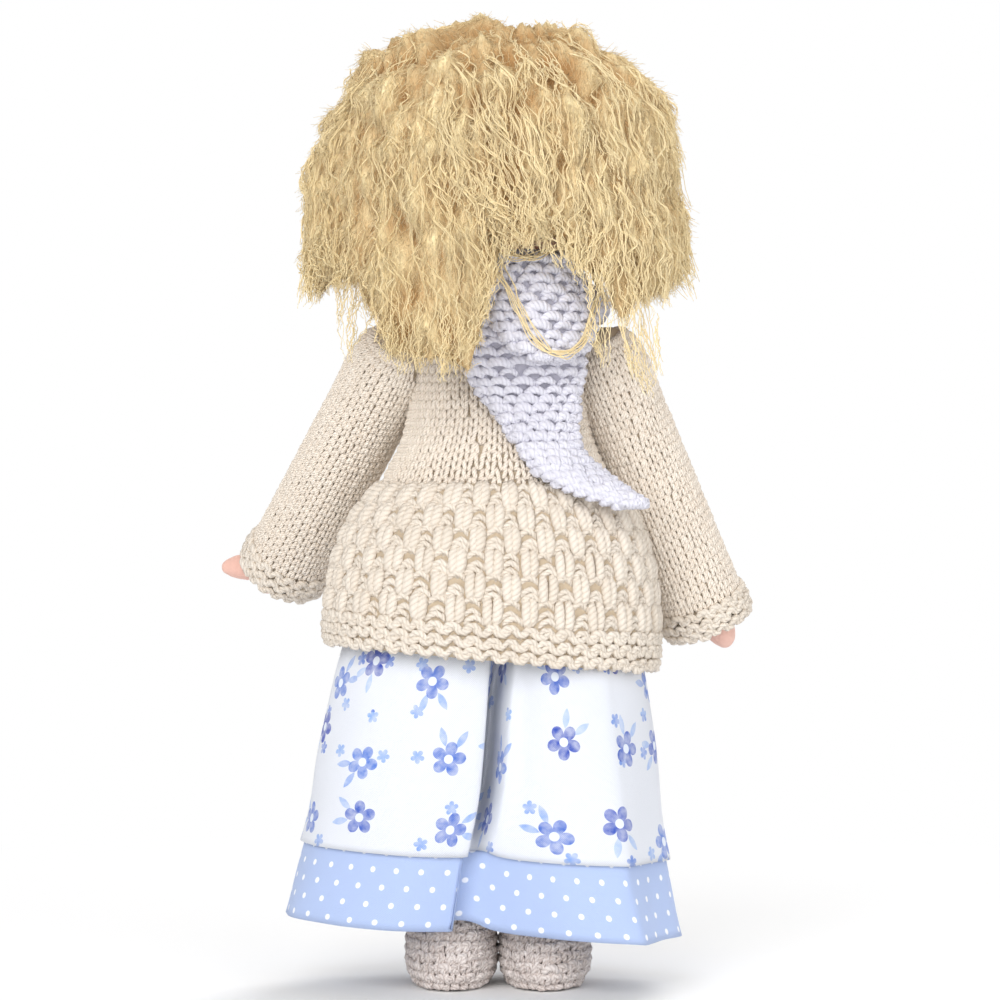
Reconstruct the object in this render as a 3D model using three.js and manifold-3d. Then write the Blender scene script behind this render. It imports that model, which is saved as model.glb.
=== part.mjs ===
// Rag doll with yarn hair, knitted sweater, scarf, printed skirt and crocheted boots.
// Millimetres. +Z is up, the doll's back faces +Y and its left side is +X. The origin is on the floor.

import * as THREE from 'three';
import { mergeVertices } from 'three/addons/utils/BufferGeometryUtils.js';
import Module from 'manifold-3d';

const wasm = await Module();
wasm.setup();

// Fits
const STITCH_GAP = 0.3; // between pieces that are sewn or lie together
const TURN_GAP = 0.4; // between pieces that turn past each other
const SKIN_WALL = 1; // cloth skin of the body pieces
const WELD = 1e-4; // points closer than this are one point

// Legs and boots
const BOOT_WIDTH = 28;
const BOOT_SPACE = 1.2; // between the two boots
const BOOT_TOP = 29;
const BOOT_SOLE = 2.6; // crochet under the insole
const INSOLE_THICKNESS = 1.2;
const INSOLE_HALF_WIDTH = 7;
const INSOLE_HALF_LENGTH = 15;
const FOOT_CENTRE_Y = -6;
const LEG_HALF_WIDTH = 9;
const HIP_HEIGHT = 100;
const LEG_DOME = 12; // hip axis to the top of the leg

// Torso
const WAIST_HALF_WIDTH = 22;
const WAIST_HALF_DEPTH = 16;
const SHOULDER_HALF_WIDTH = 25.4;
const SHOULDER_HEIGHT = 193;
const NECK_RADIUS = 9.5;
const NECK_TOP = 216;
const DOWEL_RADIUS = 2.5;
const DOWEL_BOTTOM = 165;

// Arms
const ARM_HALF_WIDTH = 7.4; // at the shoulder
const ARM_LENGTH = 101; // shoulder axis to the tip of the hand
const ARM_DOME = 8; // shoulder axis to the top of the arm
const HAND_SHIFT = 3; // the hand lies this far to the outside of the cuff
const LEFT_SPREAD = THREE.MathUtils.degToRad(24.2);
const RIGHT_SPREAD = THREE.MathUtils.degToRad(21.9);
const LEFT_SWING = THREE.MathUtils.degToRad(38); // forward of straight down
const RIGHT_SWING = THREE.MathUtils.degToRad(16);

// Threads and buttons of the joints
const THREAD_RADIUS = 0.8;
const BUTTON_RADIUS = 4;
const BUTTON_THICKNESS = 1.2;

// Head
const HEAD_CENTRE = 250;
const DOWEL_IN_HEAD = 12; // end of the dowel above the middle of the head
const HEAD_RADIUS = 39;
const HEAD_HALF_HEIGHT = 38.5;
const CAP_THICKNESS = 1;
const HAIRLINE_FRONT = 276; // height of the cap's edge at the forehead
const HAIRLINE_BACK = 233; // and at the nape
const EYE_RADIUS = 2.4;
const EYE_HEIGHT = 251;
const EYE_AZIMUTH = THREE.MathUtils.degToRad(21);

// Hair
const HAIR_TOP = 300;
const HAIR_HALF_WIDTH = 63;
const HAIR_BACK = 59.5;
const HAIR_FRONT = 50;
const HAIR_SIDE_HEIGHT = 228; // below this the hair hangs straight down
const HAIR_HANG_RADIUS = 48; // inside of the hanging hair
const HAIR_POWER = 2.8; // how square the hair looks from behind
const HAIR_WAVE = 0.025; // height of the waves over the radius
const HAIR_WAVES = 14; // around the head
const HAIR_PART = 0.35; // half of the space between two locks
const FRINGE_AZIMUTH = THREE.MathUtils.degToRad(48);
const SIDE_AZIMUTH = THREE.MathUtils.degToRad(105);
const FRONT_TIP = 215; // lowest hair at the face, the sides and the back
const SIDE_TIP = 211;
const LEFT_TIP = 194;
const RIGHT_TIP = 197;
const NAPE_TIP = 230; // the hair is short here and shows the scarf
const NAPE_EDGE_X = -32; // right end of the short hair
const NAPE_BLEND = 3; // the length changes over this far to each side of that end
const TIP_RISE = 5; // the inside of the hair ends this much higher
const CROWN_EDGE = THREE.MathUtils.degToRad(70);

// Sweater
const SWEATER_WALL = 1.5;
const BAND_WALL = 2.4;
const SLEEVE_WALL = 2.4;
const SLEEVE_RADIUS = 12.6;
const SLEEVE_END_RADIUS = 13.2;
const SLEEVE_LENGTH = 82;
const CUFF_LENGTH = 9;
const CUFF_ROLL = 1.2; // the cuff stands out from the sleeve
const CUFF_WALL = 3;
const BAND_TOP = 156;
const HEM_HEIGHT = 103;
const HEM_TILT = 0.085; // rise of the hem for each mm to the left
const SWEATER_BACK_SHIFT = 4; // the hem stands out to the back
const NECKBAND_HEIGHT = 3.5;
const NECKBAND_WALL = 3;

// Skirt
const SKIRT_WALL = 1.2;
const SKIRT_TOP = 138;
const WAISTBAND_HEIGHT = 5.5;
const WAISTBAND_WALL = 2.2;
const WHITE_HEM = 40.5;
const BLUE_TOP = 47;
const BLUE_HEM = 19;
const CLOTHES_LEAN = 4.7; // the clothes hang this far to the left at the skirt's hem
const LEAN_START = 175; // and straight above this height
const PLEATS = [
  { azimuth: 80, depth: 12, width: 9 },
  { azimuth: 128, depth: 3, width: 10 },
  { azimuth: 35, depth: 3, width: 10 },
  { azimuth: 180, depth: 4, width: 12 },
  { azimuth: 0, depth: 4, width: 12 },
  { azimuth: 245, depth: 4, width: 9 },
  { azimuth: 295, depth: 4, width: 9 },
]; // degrees from the doll's left, counted over the back; depth in mm at the hem; width in degrees

// Scarf
const SCARF_RADIUS = 24; // middle of the turn around the neck
const SCARF_HALF_WIDTH = 9.2;
const SCARF_HALF_HEIGHT = 7;
const SCARF_CENTRE = 209.5;
const SCARF_SADDLE = 1.5; // the turn rides higher over the shoulders than at the back
const SCARF_THICKNESS = 3.4;
const SCARF_FALL = { from: 208, to: 178 }; // the tail leaves the turn and comes to the sweater's back
const SCARF_BRIDGE = 0.55; // how closely the stiff tail follows the curve of the back
const SCARF_TAIL = [
  { height: 207, left: 7, right: -18 },
  { height: 196, left: 8, right: -25 },
  { height: 187, left: 6.5, right: -24.5 },
  { height: 176, left: -2, right: -23 },
  { height: 167, left: -8, right: -24 },
  { height: 159, left: -14.5, right: -31 },
  { height: 154, left: -24, right: -37 },
  { height: 150, left: -36, right: -43 },
];
const SCARF_FLAP = [
  { height: 226, left: -2, right: -20 },
  { height: 215, left: 2, right: -27 },
  { height: 203, left: 0, right: -28 },
  { height: 197, left: -6, right: -25 },
  { height: 194, left: -13, right: -20 },
];

// Number of sides or steps that the round forms are made with
const BODY_SIDES = 14;
const LIMB_SIDES = 12;
const SLEEVE_SIDES = 14;
const HEAD_SIDES = 18;
const HEAD_STEPS = 8;
const SWEATER_SIDES = 28;
const SKIRT_SIDES = 48;
const SCARF_SIDES = 24;
const SCARF_TUBE_SIDES = 8;
const SCARF_STEPS = 6;
const HAIR_STEP_ANGLE = THREE.MathUtils.degToRad(9);
const HAIR_UPPER_ROWS = 5;
const HAIR_LOWER_ROWS = 3;
const THREAD_SIDES = 6;
const BUTTON_SIDES = 10;

// Sizes that follow from the ones above
const dowelTop = HEAD_CENTRE + DOWEL_IN_HEAD;
const legX = (BOOT_WIDTH + BOOT_SPACE) / 2;
const hipHalfWidth = legX - LEG_HALF_WIDTH - TURN_GAP; // the torso between the legs
const footBottom = BOOT_SOLE + INSOLE_THICKNESS + 2 * STITCH_GAP;
const armX = SHOULDER_HALF_WIDTH + TURN_GAP + ARM_HALF_WIDTH;
const armholeX = SHOULDER_HALF_WIDTH + STITCH_GAP + SWEATER_WALL; // side of the sweater
const sleeveStartX = armholeX + STITCH_GAP;
const holeRadius = THREAD_RADIUS + STITCH_GAP;
const capRadius = HEAD_RADIUS + STITCH_GAP + CAP_THICKNESS;
const capHalfHeight = HEAD_HALF_HEIGHT + STITCH_GAP + CAP_THICKNESS;
const hairInside = capRadius + TURN_GAP;
const hairInsideHeight = capHalfHeight + TURN_GAP;
const waistbandHalfWidth = WAIST_HALF_WIDTH + STITCH_GAP + WAISTBAND_WALL;
const waistbandHalfDepth = WAIST_HALF_DEPTH + STITCH_GAP + WAISTBAND_WALL;

// Torso: height, half width, half depth
const TORSO_RINGS = [
  [HIP_HEIGHT - 9, 0.8 * hipHalfWidth, 6],
  [HIP_HEIGHT - 4, hipHalfWidth, 9],
  [HIP_HEIGHT + LEG_DOME + 1, hipHalfWidth, 11],
  [HIP_HEIGHT + 17.5, 16, 14],
  [HIP_HEIGHT + 25, WAIST_HALF_WIDTH, WAIST_HALF_DEPTH],
  [145, WAIST_HALF_WIDTH, WAIST_HALF_DEPTH],
  [170, 24, 15.5],
  [SHOULDER_HEIGHT, SHOULDER_HALF_WIDTH, 13],
  [200, 18, 11.5],
  [204, 11.5, 10],
  [206.5, NECK_RADIUS, NECK_RADIUS],
  [NECK_TOP, NECK_RADIUS, NECK_RADIUS],
];
const torsoBottom = HIP_HEIGHT - 11;

// Leg from the foot up: height, half width, half depth, centre in Y
const LEG_RINGS = [
  [footBottom + 0.4, 7.6, 16, FOOT_CENTRE_Y],
  [footBottom + 4, 9.4, 18.4, FOOT_CENTRE_Y],
  [13, 9.2, 15, -4.5],
  [20, 8.2, 9.8, -1],
  [BOOT_TOP, 7.8, 8, 0],
  [48, 8.2, 8.4, 0],
  [72, 8.8, 9, 0],
  [HIP_HEIGHT - 4, LEG_HALF_WIDTH, LEG_HALF_WIDTH, 0],
  [HIP_HEIGHT + 3, LEG_HALF_WIDTH, LEG_HALF_WIDTH, 0],
  [HIP_HEIGHT + 8.5, 6.6, 6.6, 0],
];

// Boot outside from the sole up: height, half width, half length, centre in Y
const BOOT_RINGS = [
  [0, 9.5, 18, FOOT_CENTRE_Y],
  [1.5, 11.6, 20.4, FOOT_CENTRE_Y],
  [5, BOOT_WIDTH / 2 - 0.6, 22.4, FOOT_CENTRE_Y],
  [11, BOOT_WIDTH / 2, 22.6, FOOT_CENTRE_Y],
  [18, 13.4, 18.4, -4.2],
  [24, 12.2, 13.6, -1.4],
  [BOOT_TOP, 11.2, 11.6, 0],
];

// Arm from the shoulder axis to the hand: distance, half width, half depth
const ARM_RINGS = [
  [-6.4, 4, 4.4],
  [-3.4, 6.4, 7],
  [0, ARM_HALF_WIDTH, 8],
  [10, ARM_HALF_WIDTH, 8],
  [32, 6.8, 7.2],
  [56, 6, 6.2],
  [77, 5.2, 5.2],
  [86, 5.2, 5.8],
  [92, 5.2, 6.4],
  [97, 4.2, 5.4],
  [ARM_LENGTH - 1.2, 2.4, 3.4],
];
const WRIST = 77;
const THUMB = { start: 85, length: 11, radius: 2.6, turn: THREE.MathUtils.degToRad(38) };

// Sleeve outside: distance from the shoulder axis, radius
const SLEEVE_RINGS = [
  [-11, 5.6],
  [-7.6, 9.8],
  [-3.2, 12.1],
  [1, SLEEVE_RADIUS],
  [16, SLEEVE_RADIUS],
  [45, 12.8],
  [SLEEVE_LENGTH, SLEEVE_END_RADIUS],
];
const SLEEVE_DOME = 12.4;

// Sweater above the band: height, half width, half depth
const SWEATER_RINGS = [
  [BAND_TOP, 35.2, 26],
  [166, 30.2, 23.5],
  [177, armholeX, 20.5],
  [185, armholeX, 18.8],
  [SHOULDER_HEIGHT, armholeX, 17.2],
  [199, armholeX, 15.8],
  [203, 23.5, 14.6],
  [206, 17, 13.6],
  [207.2, 13.6, 12.8],
];

// Sweater's hem band: height, half width, half depth
const BAND_RINGS = [
  [HEM_HEIGHT, 51.2, 34],
  [118, 50, 33.4],
  [132, 47.6, 32.4],
  [141, 44.6, 31],
  [149, 40, 29.2],
  [BAND_TOP - STITCH_GAP, 36.4, 27.2],
];

// Skirt outside: height, half width, half depth, centre in Y
const SKIRT_RINGS = [
  [SKIRT_TOP - STITCH_GAP, waistbandHalfWidth, waistbandHalfDepth, 0],
  [126, 36, 23.5, 1],
  [114, 44.2, 26.5, 2],
  [104, 47.2, 28.2, 3],
  [72, 52.8, 33.4, 0.2],
  [BLUE_TOP, 56.4, 37, -2.2],
  [WHITE_HEM, 57.6, 37.8, -2.8],
  [BLUE_HEM, 61.5, 40.2, -4.5],
];

// Colours
const SKIN = 0xecc0b2;
const STUFFING = 0xf4f2ec;
const WOOD = 0xc9a26d;
const CREAM = 0xe8dcc6;
const CREAM_DARK = 0xdfd1b8;
const WHITE_COTTON = 0xf5f7fb;
const BLUE_COTTON = 0xa9c3ef;
const LILAC_WHITE = 0xe2e2ec;
const BLOND = 0xe6c688;
const BLOND_DARK = 0xb98a4c;
const TAUPE = 0xb9aca2;
const CARD = 0xb99c74;
const BUTTON_WHITE = 0xf0eee8;
const EYE_BROWN = 0x3a2417;
const CLOTH_ROUGHNESS = 0.9;
const HARD_ROUGHNESS = 0.4;

// Points and surfaces

function ring(centre, across, depth, halfWidth, halfDepth, sides) {
  const points = [];
  for (let i = 0; i < sides; i += 1) {
    const angle = (i / sides) * 2 * Math.PI;
    const point = centre.clone();
    point.addScaledVector(across, halfWidth * Math.cos(angle));
    point.addScaledVector(depth, halfDepth * Math.sin(angle));
    points.push(point);
  }
  return points;
}

const X_AXIS = new THREE.Vector3(1, 0, 0);
const Y_AXIS = new THREE.Vector3(0, 1, 0);

function levelRing(x, y, height, halfWidth, halfDepth, sides) {
  const centre = new THREE.Vector3(x, y, height);
  return ring(centre, X_AXIS, Y_AXIS, halfWidth, halfDepth, sides);
}

function signedVolume(points, faces) {
  let total = 0;
  for (const [a, b, c] of faces) {
    total += points[a].dot(points[b].clone().cross(points[c])) / 6;
  }
  return total;
}

// A closed mesh that faces out
function surface(points, faces) {
  const outward = signedVolume(points, faces) > 0;
  const index = [];
  for (const [a, b, c] of faces) {
    index.push(a, outward ? b : c, outward ? c : b);
  }
  const geometry = new THREE.BufferGeometry();
  geometry.setFromPoints(points);
  geometry.setIndex(index);
  geometry.computeVertexNormals();
  return geometry;
}

function quad(faces, a, b, c, d) {
  faces.push([a, b, c], [a, c, d]);
}

// Faces between two rings, given by the number of their first point
function joinRings(faces, lower, upper, sides, outward = true) {
  for (let i = 0; i < sides; i += 1) {
    const j = (i + 1) % sides;
    if (outward) {
      faces.push([lower + i, lower + j, upper + j], [lower + i, upper + j, upper + i]);
    } else {
      faces.push([lower + i, upper + j, lower + j], [lower + i, upper + i, upper + j]);
    }
  }
}

// A solid through the rings, closed at a point at each end
function loft(rings, firstPoint, lastPoint) {
  const sides = rings[0].length;
  const points = [...rings.flat(), firstPoint, lastPoint];
  const first = points.length - 2;
  const last = points.length - 1;
  const lastRing = (rings.length - 1) * sides;
  const faces = [];
  for (let r = 0; r < rings.length - 1; r += 1) {
    joinRings(faces, r * sides, (r + 1) * sides, sides);
  }
  for (let i = 0; i < sides; i += 1) {
    const j = (i + 1) % sides;
    faces.push([first, j, i]);
    faces.push([last, lastRing + i, lastRing + j]);
  }
  return surface(points, faces);
}

// A tube with a wall, open at both ends
function tube(outside, inside) {
  const sides = outside[0].length;
  const count = outside.length;
  const faces = [];
  for (let r = 0; r < count - 1; r += 1) {
    joinRings(faces, r * sides, (r + 1) * sides, sides);
    joinRings(faces, (count + r) * sides, (count + r + 1) * sides, sides, false);
  }
  joinRings(faces, count * sides, 0, sides);
  joinRings(faces, (count - 1) * sides, (2 * count - 1) * sides, sides);
  return surface([...outside, ...inside].flat(), faces);
}

// A closed hoop through the rings
function hoop(rings) {
  const sides = rings[0].length;
  const faces = [];
  for (let r = 0; r < rings.length; r += 1) {
    joinRings(faces, r * sides, ((r + 1) % rings.length) * sides, sides);
  }
  return surface(rings.flat(), faces);
}

// A slab between two sheets of points, each a list of rows
function slab(outside, inside) {
  const rows = outside.length;
  const columns = outside[0].length;
  const points = [...outside.flat(), ...inside.flat()];
  const out = (r, c) => r * columns + c;
  const inn = (r, c) => rows * columns + r * columns + c;
  const faces = [];
  for (let r = 0; r < rows - 1; r += 1) {
    for (let c = 0; c < columns - 1; c += 1) {
      quad(faces, out(r, c), out(r, c + 1), out(r + 1, c + 1), out(r + 1, c));
      quad(faces, inn(r, c), inn(r + 1, c), inn(r + 1, c + 1), inn(r, c + 1));
    }
    quad(faces, out(r, 0), out(r + 1, 0), inn(r + 1, 0), inn(r, 0));
    const end = columns - 1;
    quad(faces, out(r, end), inn(r, end), inn(r + 1, end), out(r + 1, end));
  }
  const bottom = rows - 1;
  for (let c = 0; c < columns - 1; c += 1) {
    quad(faces, out(0, c), inn(0, c), inn(0, c + 1), out(0, c + 1));
    quad(faces, out(bottom, c), out(bottom, c + 1), inn(bottom, c + 1), inn(bottom, c));
  }
  return surface(points, faces);
}

// A turned solid about the Z axis: the profile is a list of [radius, height]
function turned(profile, sides) {
  const outline = profile.map(([radius, height]) => new THREE.Vector2(radius, height));
  const geometry = new THREE.LatheGeometry(outline, sides);
  geometry.rotateX(Math.PI / 2);
  return geometry;
}

// Cutting and joining

function toSolid(geometry) {
  const bare = geometry.clone();
  bare.deleteAttribute('normal');
  bare.deleteAttribute('uv');
  const merged = mergeVertices(bare, WELD);
  const vertProperties = Float32Array.from(merged.attributes.position.array);
  const triVerts = Uint32Array.from(merged.index.array);
  return new wasm.Manifold(new wasm.Mesh({ numProp: 3, vertProperties, triVerts }));
}

function toGeometry(solid) {
  const mesh = solid.getMesh();
  const geometry = new THREE.BufferGeometry();
  geometry.setAttribute('position', new THREE.BufferAttribute(mesh.vertProperties, 3));
  geometry.setIndex(new THREE.BufferAttribute(mesh.triVerts, 1));
  geometry.computeVertexNormals();
  return geometry;
}

function cut(geometry, ...tools) {
  let solid = toSolid(geometry);
  for (const tool of tools) {
    solid = solid.subtract(toSolid(tool));
  }
  return toGeometry(solid);
}

// A round bar along X, from one x to another
function barAlongX(radius, fromX, toX, height, sides) {
  const geometry = new THREE.CylinderGeometry(radius, radius, toX - fromX, sides);
  geometry.rotateZ(Math.PI / 2);
  geometry.translate((fromX + toX) / 2, 0, height);
  return geometry;
}

const CUT_REACH = 60; // longer than any piece that a hole goes through

function threadHole(height) {
  return barAlongX(holeRadius, -CUT_REACH, CUT_REACH, height, THREAD_SIDES);
}

// Building the group

const doll = new THREE.Group();
doll.name = 'rag_doll';

function add(parent, name, geometry, color, roughness = CLOTH_ROUGHNESS) {
  const material = new THREE.MeshStandardMaterial({ color, roughness, metalness: 0 });
  const mesh = new THREE.Mesh(geometry, material);
  mesh.name = name;
  parent.add(mesh);
}

// Torso: an open sack with its neck up, the stuffing in it and the dowel in the stuffing
function torsoRings(inset) {
  return TORSO_RINGS.map(([height, halfWidth, halfDepth]) =>
    levelRing(0, 0, height, halfWidth - inset, halfDepth - inset, BODY_SIDES),
  );
}

// The torso's outline, inset by the cloth; the top is raised where it cuts the neck open
function torsoSolid(inset, raise = 0) {
  const bottom = new THREE.Vector3(0, 0, torsoBottom + inset);
  const top = new THREE.Vector3(0, 0, NECK_TOP + raise);
  const rings = torsoRings(inset);
  rings[rings.length - 1].forEach((point) => point.setZ(top.z));
  return loft(rings, bottom, top);
}

function buildTorso() {
  const holes = [threadHole(SHOULDER_HEIGHT), threadHole(HIP_HEIGHT)];
  const skin = cut(torsoSolid(0), torsoSolid(SKIN_WALL, SKIN_WALL), ...holes);
  add(doll, 'torso_skin', skin, SKIN);

  const dowelHole = turned([
    [0, DOWEL_BOTTOM - STITCH_GAP],
    [DOWEL_RADIUS + STITCH_GAP, DOWEL_BOTTOM - STITCH_GAP],
    [DOWEL_RADIUS + STITCH_GAP, dowelTop],
    [0, dowelTop],
  ], LIMB_SIDES);
  const stuffing = cut(torsoSolid(SKIN_WALL + STITCH_GAP), dowelHole, ...holes);
  add(doll, 'torso_stuffing', stuffing, STUFFING);

  const dowel = turned([
    [0, DOWEL_BOTTOM],
    [DOWEL_RADIUS, DOWEL_BOTTOM],
    [DOWEL_RADIUS, dowelTop],
    [0, dowelTop],
  ], LIMB_SIDES);
  add(doll, 'neck_dowel', cut(dowel, threadHole(SHOULDER_HEIGHT)), WOOD);
}

// A button with a hole for the thread, lying against a limb
function button(x, side) {
  const half = BUTTON_THICKNESS / 2;
  const profile = [
    [holeRadius, -half],
    [BUTTON_RADIUS, -half],
    [BUTTON_RADIUS, half],
    [holeRadius, half],
    [holeRadius, -half],
  ];
  const geometry = turned(profile, BUTTON_SIDES);
  geometry.rotateY(Math.PI / 2);
  geometry.translate(side * (x + half), 0, 0);
  return geometry;
}

// The hollow that a button pulls into an arm
function buttonDimple(x, side) {
  const ends = [side * x, side * (x + CUT_REACH)].sort((a, b) => a - b);
  return barAlongX(BUTTON_RADIUS + STITCH_GAP, ends[0], ends[1], 0, BUTTON_SIDES);
}

function buildThreads() {
  const shoulderEnd = armX + ARM_HALF_WIDTH + STITCH_GAP + BUTTON_THICKNESS;
  const hipEnd = legX + LEG_HALF_WIDTH + STITCH_GAP + BUTTON_THICKNESS;
  const shoulder = barAlongX(THREAD_RADIUS, -shoulderEnd, shoulderEnd, SHOULDER_HEIGHT, THREAD_SIDES);
  const hip = barAlongX(THREAD_RADIUS, -hipEnd, hipEnd, HIP_HEIGHT, THREAD_SIDES);
  add(doll, 'shoulder_thread', shoulder, BUTTON_WHITE);
  add(doll, 'hip_thread', hip, BUTTON_WHITE);
}

// Arms: everything on an arm is built with the shoulder axis at height 0, then swung forward

function armFrame(side, spread) {
  const along = new THREE.Vector3(side * Math.sin(spread), 0, -Math.cos(spread));
  const across = new THREE.Vector3(side * Math.cos(spread), 0, Math.sin(spread));
  const start = new THREE.Vector3(side * armX, 0, 0);
  const at = (distance, shift = 0) =>
    start.clone().addScaledVector(along, distance).addScaledVector(across, shift);
  return { along, across, at };
}

// The hand lies to the outside of the cuff
function handShift(distance) {
  return HAND_SHIFT * THREE.MathUtils.smoothstep(distance, WRIST, ARM_LENGTH);
}

function armSolid(frame, inset) {
  const rings = ARM_RINGS.map(([distance, halfWidth, halfDepth]) => {
    const centre = frame.at(distance, handShift(distance));
    return ring(centre, frame.across, Y_AXIS, halfWidth - inset, halfDepth - inset, LIMB_SIDES);
  });
  const top = frame.at(inset - ARM_DOME);
  const tip = frame.at(ARM_LENGTH - inset, HAND_SHIFT);
  return loft(rings, top, tip);
}

function thumb(frame) {
  const geometry = new THREE.CapsuleGeometry(THUMB.radius, THUMB.length - 2 * THUMB.radius, 3, 8);
  geometry.translate(0, THUMB.length / 2, 0);
  const direction = frame.along.clone().multiplyScalar(Math.cos(THUMB.turn));
  direction.addScaledVector(frame.across, -Math.sin(THUMB.turn));
  const turn = new THREE.Quaternion().setFromUnitVectors(Y_AXIS, direction);
  geometry.applyQuaternion(turn);
  const root = frame.at(THUMB.start, handShift(THUMB.start));
  geometry.translate(root.x, root.y, root.z);
  return geometry;
}

function sleeveSolid(frame, inset, extraEnd) {
  const rings = SLEEVE_RINGS.map(([distance, radius]) => {
    const last = distance === SLEEVE_LENGTH ? extraEnd : 0;
    const centre = frame.at(distance + last);
    return ring(centre, frame.across, Y_AXIS, radius - inset, radius - inset, SLEEVE_SIDES);
  });
  const end = frame.at(SLEEVE_LENGTH + extraEnd);
  return loft(rings, frame.at(inset - SLEEVE_DOME), end);
}

// Everything nearer to the middle than the armhole
function bodySideBox(side) {
  const box = new THREE.BoxGeometry(2 * CUT_REACH, 2 * CUT_REACH, 4 * CUT_REACH);
  box.translate(side * (sleeveStartX - CUT_REACH), 0, 0);
  return box;
}

function cuff(frame) {
  const start = SLEEVE_LENGTH + STITCH_GAP;
  const end = SLEEVE_LENGTH + CUFF_LENGTH;
  const middle = (start + end) / 2;
  const rolled = SLEEVE_END_RADIUS + CUFF_ROLL;
  const cuffRing = (distance, radius) =>
    ring(frame.at(distance), frame.across, Y_AXIS, radius, radius, SLEEVE_SIDES);
  const outside = [
    cuffRing(start, SLEEVE_END_RADIUS),
    cuffRing(middle, rolled),
    cuffRing(end, SLEEVE_END_RADIUS),
  ];
  const inside = [
    cuffRing(start, SLEEVE_END_RADIUS - CUFF_WALL),
    cuffRing(middle, SLEEVE_END_RADIUS - CUFF_WALL),
    cuffRing(end, SLEEVE_END_RADIUS - CUFF_WALL),
  ];
  return tube(outside, inside);
}

function buildArm(label, side, spread, swing) {
  const group = new THREE.Group();
  group.name = `arm_${label}`;
  group.position.set(0, 0, SHOULDER_HEIGHT);
  group.rotation.x = -swing;
  doll.add(group);

  const frame = armFrame(side, spread);
  const hole = threadHole(0);
  const buttonX = armX + ARM_HALF_WIDTH + STITCH_GAP;
  const dimple = buttonDimple(buttonX - STITCH_GAP, side);
  const outside = toGeometry(toSolid(armSolid(frame, 0)).add(toSolid(thumb(frame))));
  const skin = cut(outside, armSolid(frame, SKIN_WALL), hole, dimple);
  const stuffing = cut(armSolid(frame, SKIN_WALL + STITCH_GAP), hole, dimple);
  const sleeve = cut(
    sleeveSolid(frame, 0, 0),
    sleeveSolid(frame, SLEEVE_WALL, CUFF_LENGTH),
    bodySideBox(side),
  );
  add(group, `arm_${label}_skin`, skin, SKIN);
  add(group, `arm_${label}_stuffing`, stuffing, STUFFING);
  add(group, `sweater_sleeve_${label}`, sleeve, CREAM);
  add(group, `sweater_cuff_${label}`, cuff(frame), CREAM_DARK);
  add(group, `shoulder_button_${label}`, button(buttonX, side), BUTTON_WHITE, HARD_ROUGHNESS);
}

// Legs and boots

function legRings(x, inset) {
  return LEG_RINGS.map(([height, halfWidth, halfDepth, y]) =>
    levelRing(x, y, height, halfWidth - inset, halfDepth - inset, LIMB_SIDES),
  );
}

function legSolid(x, inset) {
  const bottom = new THREE.Vector3(x, FOOT_CENTRE_Y, footBottom + inset);
  const top = new THREE.Vector3(x, 0, HIP_HEIGHT + LEG_DOME - inset);
  const rings = legRings(x, inset);
  rings[0].forEach((point) => point.setZ(point.z + inset));
  return loft(rings, bottom, top);
}

// The boot is cut to the shape of the foot and the insole
function boot(x) {
  const outside = BOOT_RINGS.map(([height, halfWidth, halfLength, y]) =>
    levelRing(x, y, height, halfWidth, halfLength, BODY_SIDES),
  );
  const foot = legRings(x, -STITCH_GAP);
  foot[0].forEach((point) => point.setZ(BOOT_SOLE));
  const hip = new THREE.Vector3(x, 0, HIP_HEIGHT);
  const middle = (height) => new THREE.Vector3(x, FOOT_CENTRE_Y, height);
  const ankle = new THREE.Vector3(x, 0, BOOT_TOP);
  return cut(loft(outside, middle(0), ankle), loft(foot, middle(BOOT_SOLE), hip));
}

function insole(x) {
  const bottom = BOOT_SOLE + STITCH_GAP;
  const top = bottom + INSOLE_THICKNESS;
  const insoleRing = (height) =>
    levelRing(x, FOOT_CENTRE_Y, height, INSOLE_HALF_WIDTH, INSOLE_HALF_LENGTH, BODY_SIDES);
  const firstPoint = new THREE.Vector3(x, FOOT_CENTRE_Y, bottom);
  const lastPoint = new THREE.Vector3(x, FOOT_CENTRE_Y, top);
  return loft([insoleRing(bottom), insoleRing(top)], firstPoint, lastPoint);
}

function buildLeg(label, side) {
  const x = side * legX;
  const hole = threadHole(HIP_HEIGHT);
  add(doll, `leg_${label}_skin`, cut(legSolid(x, 0), legSolid(x, SKIN_WALL), hole), SKIN);
  add(doll, `leg_${label}_stuffing`, cut(legSolid(x, SKIN_WALL + STITCH_GAP), hole), STUFFING);
  add(doll, `boot_${label}`, boot(x), TAUPE);
  add(doll, `insole_${label}`, insole(x), CARD);
  const hipButton = button(legX + LEG_HALF_WIDTH + STITCH_GAP, side);
  hipButton.translate(0, 0, HIP_HEIGHT);
  add(doll, `hip_button_${label}`, hipButton, BUTTON_WHITE, HARD_ROUGHNESS);
}

// Head

function headArc(radius, halfHeight, fromAngle, toAngle) {
  const points = [];
  for (let i = 0; i <= HEAD_STEPS; i += 1) {
    const angle = THREE.MathUtils.lerp(fromAngle, toAngle, i / HEAD_STEPS);
    const arm = Math.abs(Math.sin(angle)) < WELD ? 0 : radius * Math.sin(angle);
    points.push([arm, HEAD_CENTRE + halfHeight * Math.cos(angle)]);
  }
  return points;
}

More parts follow.
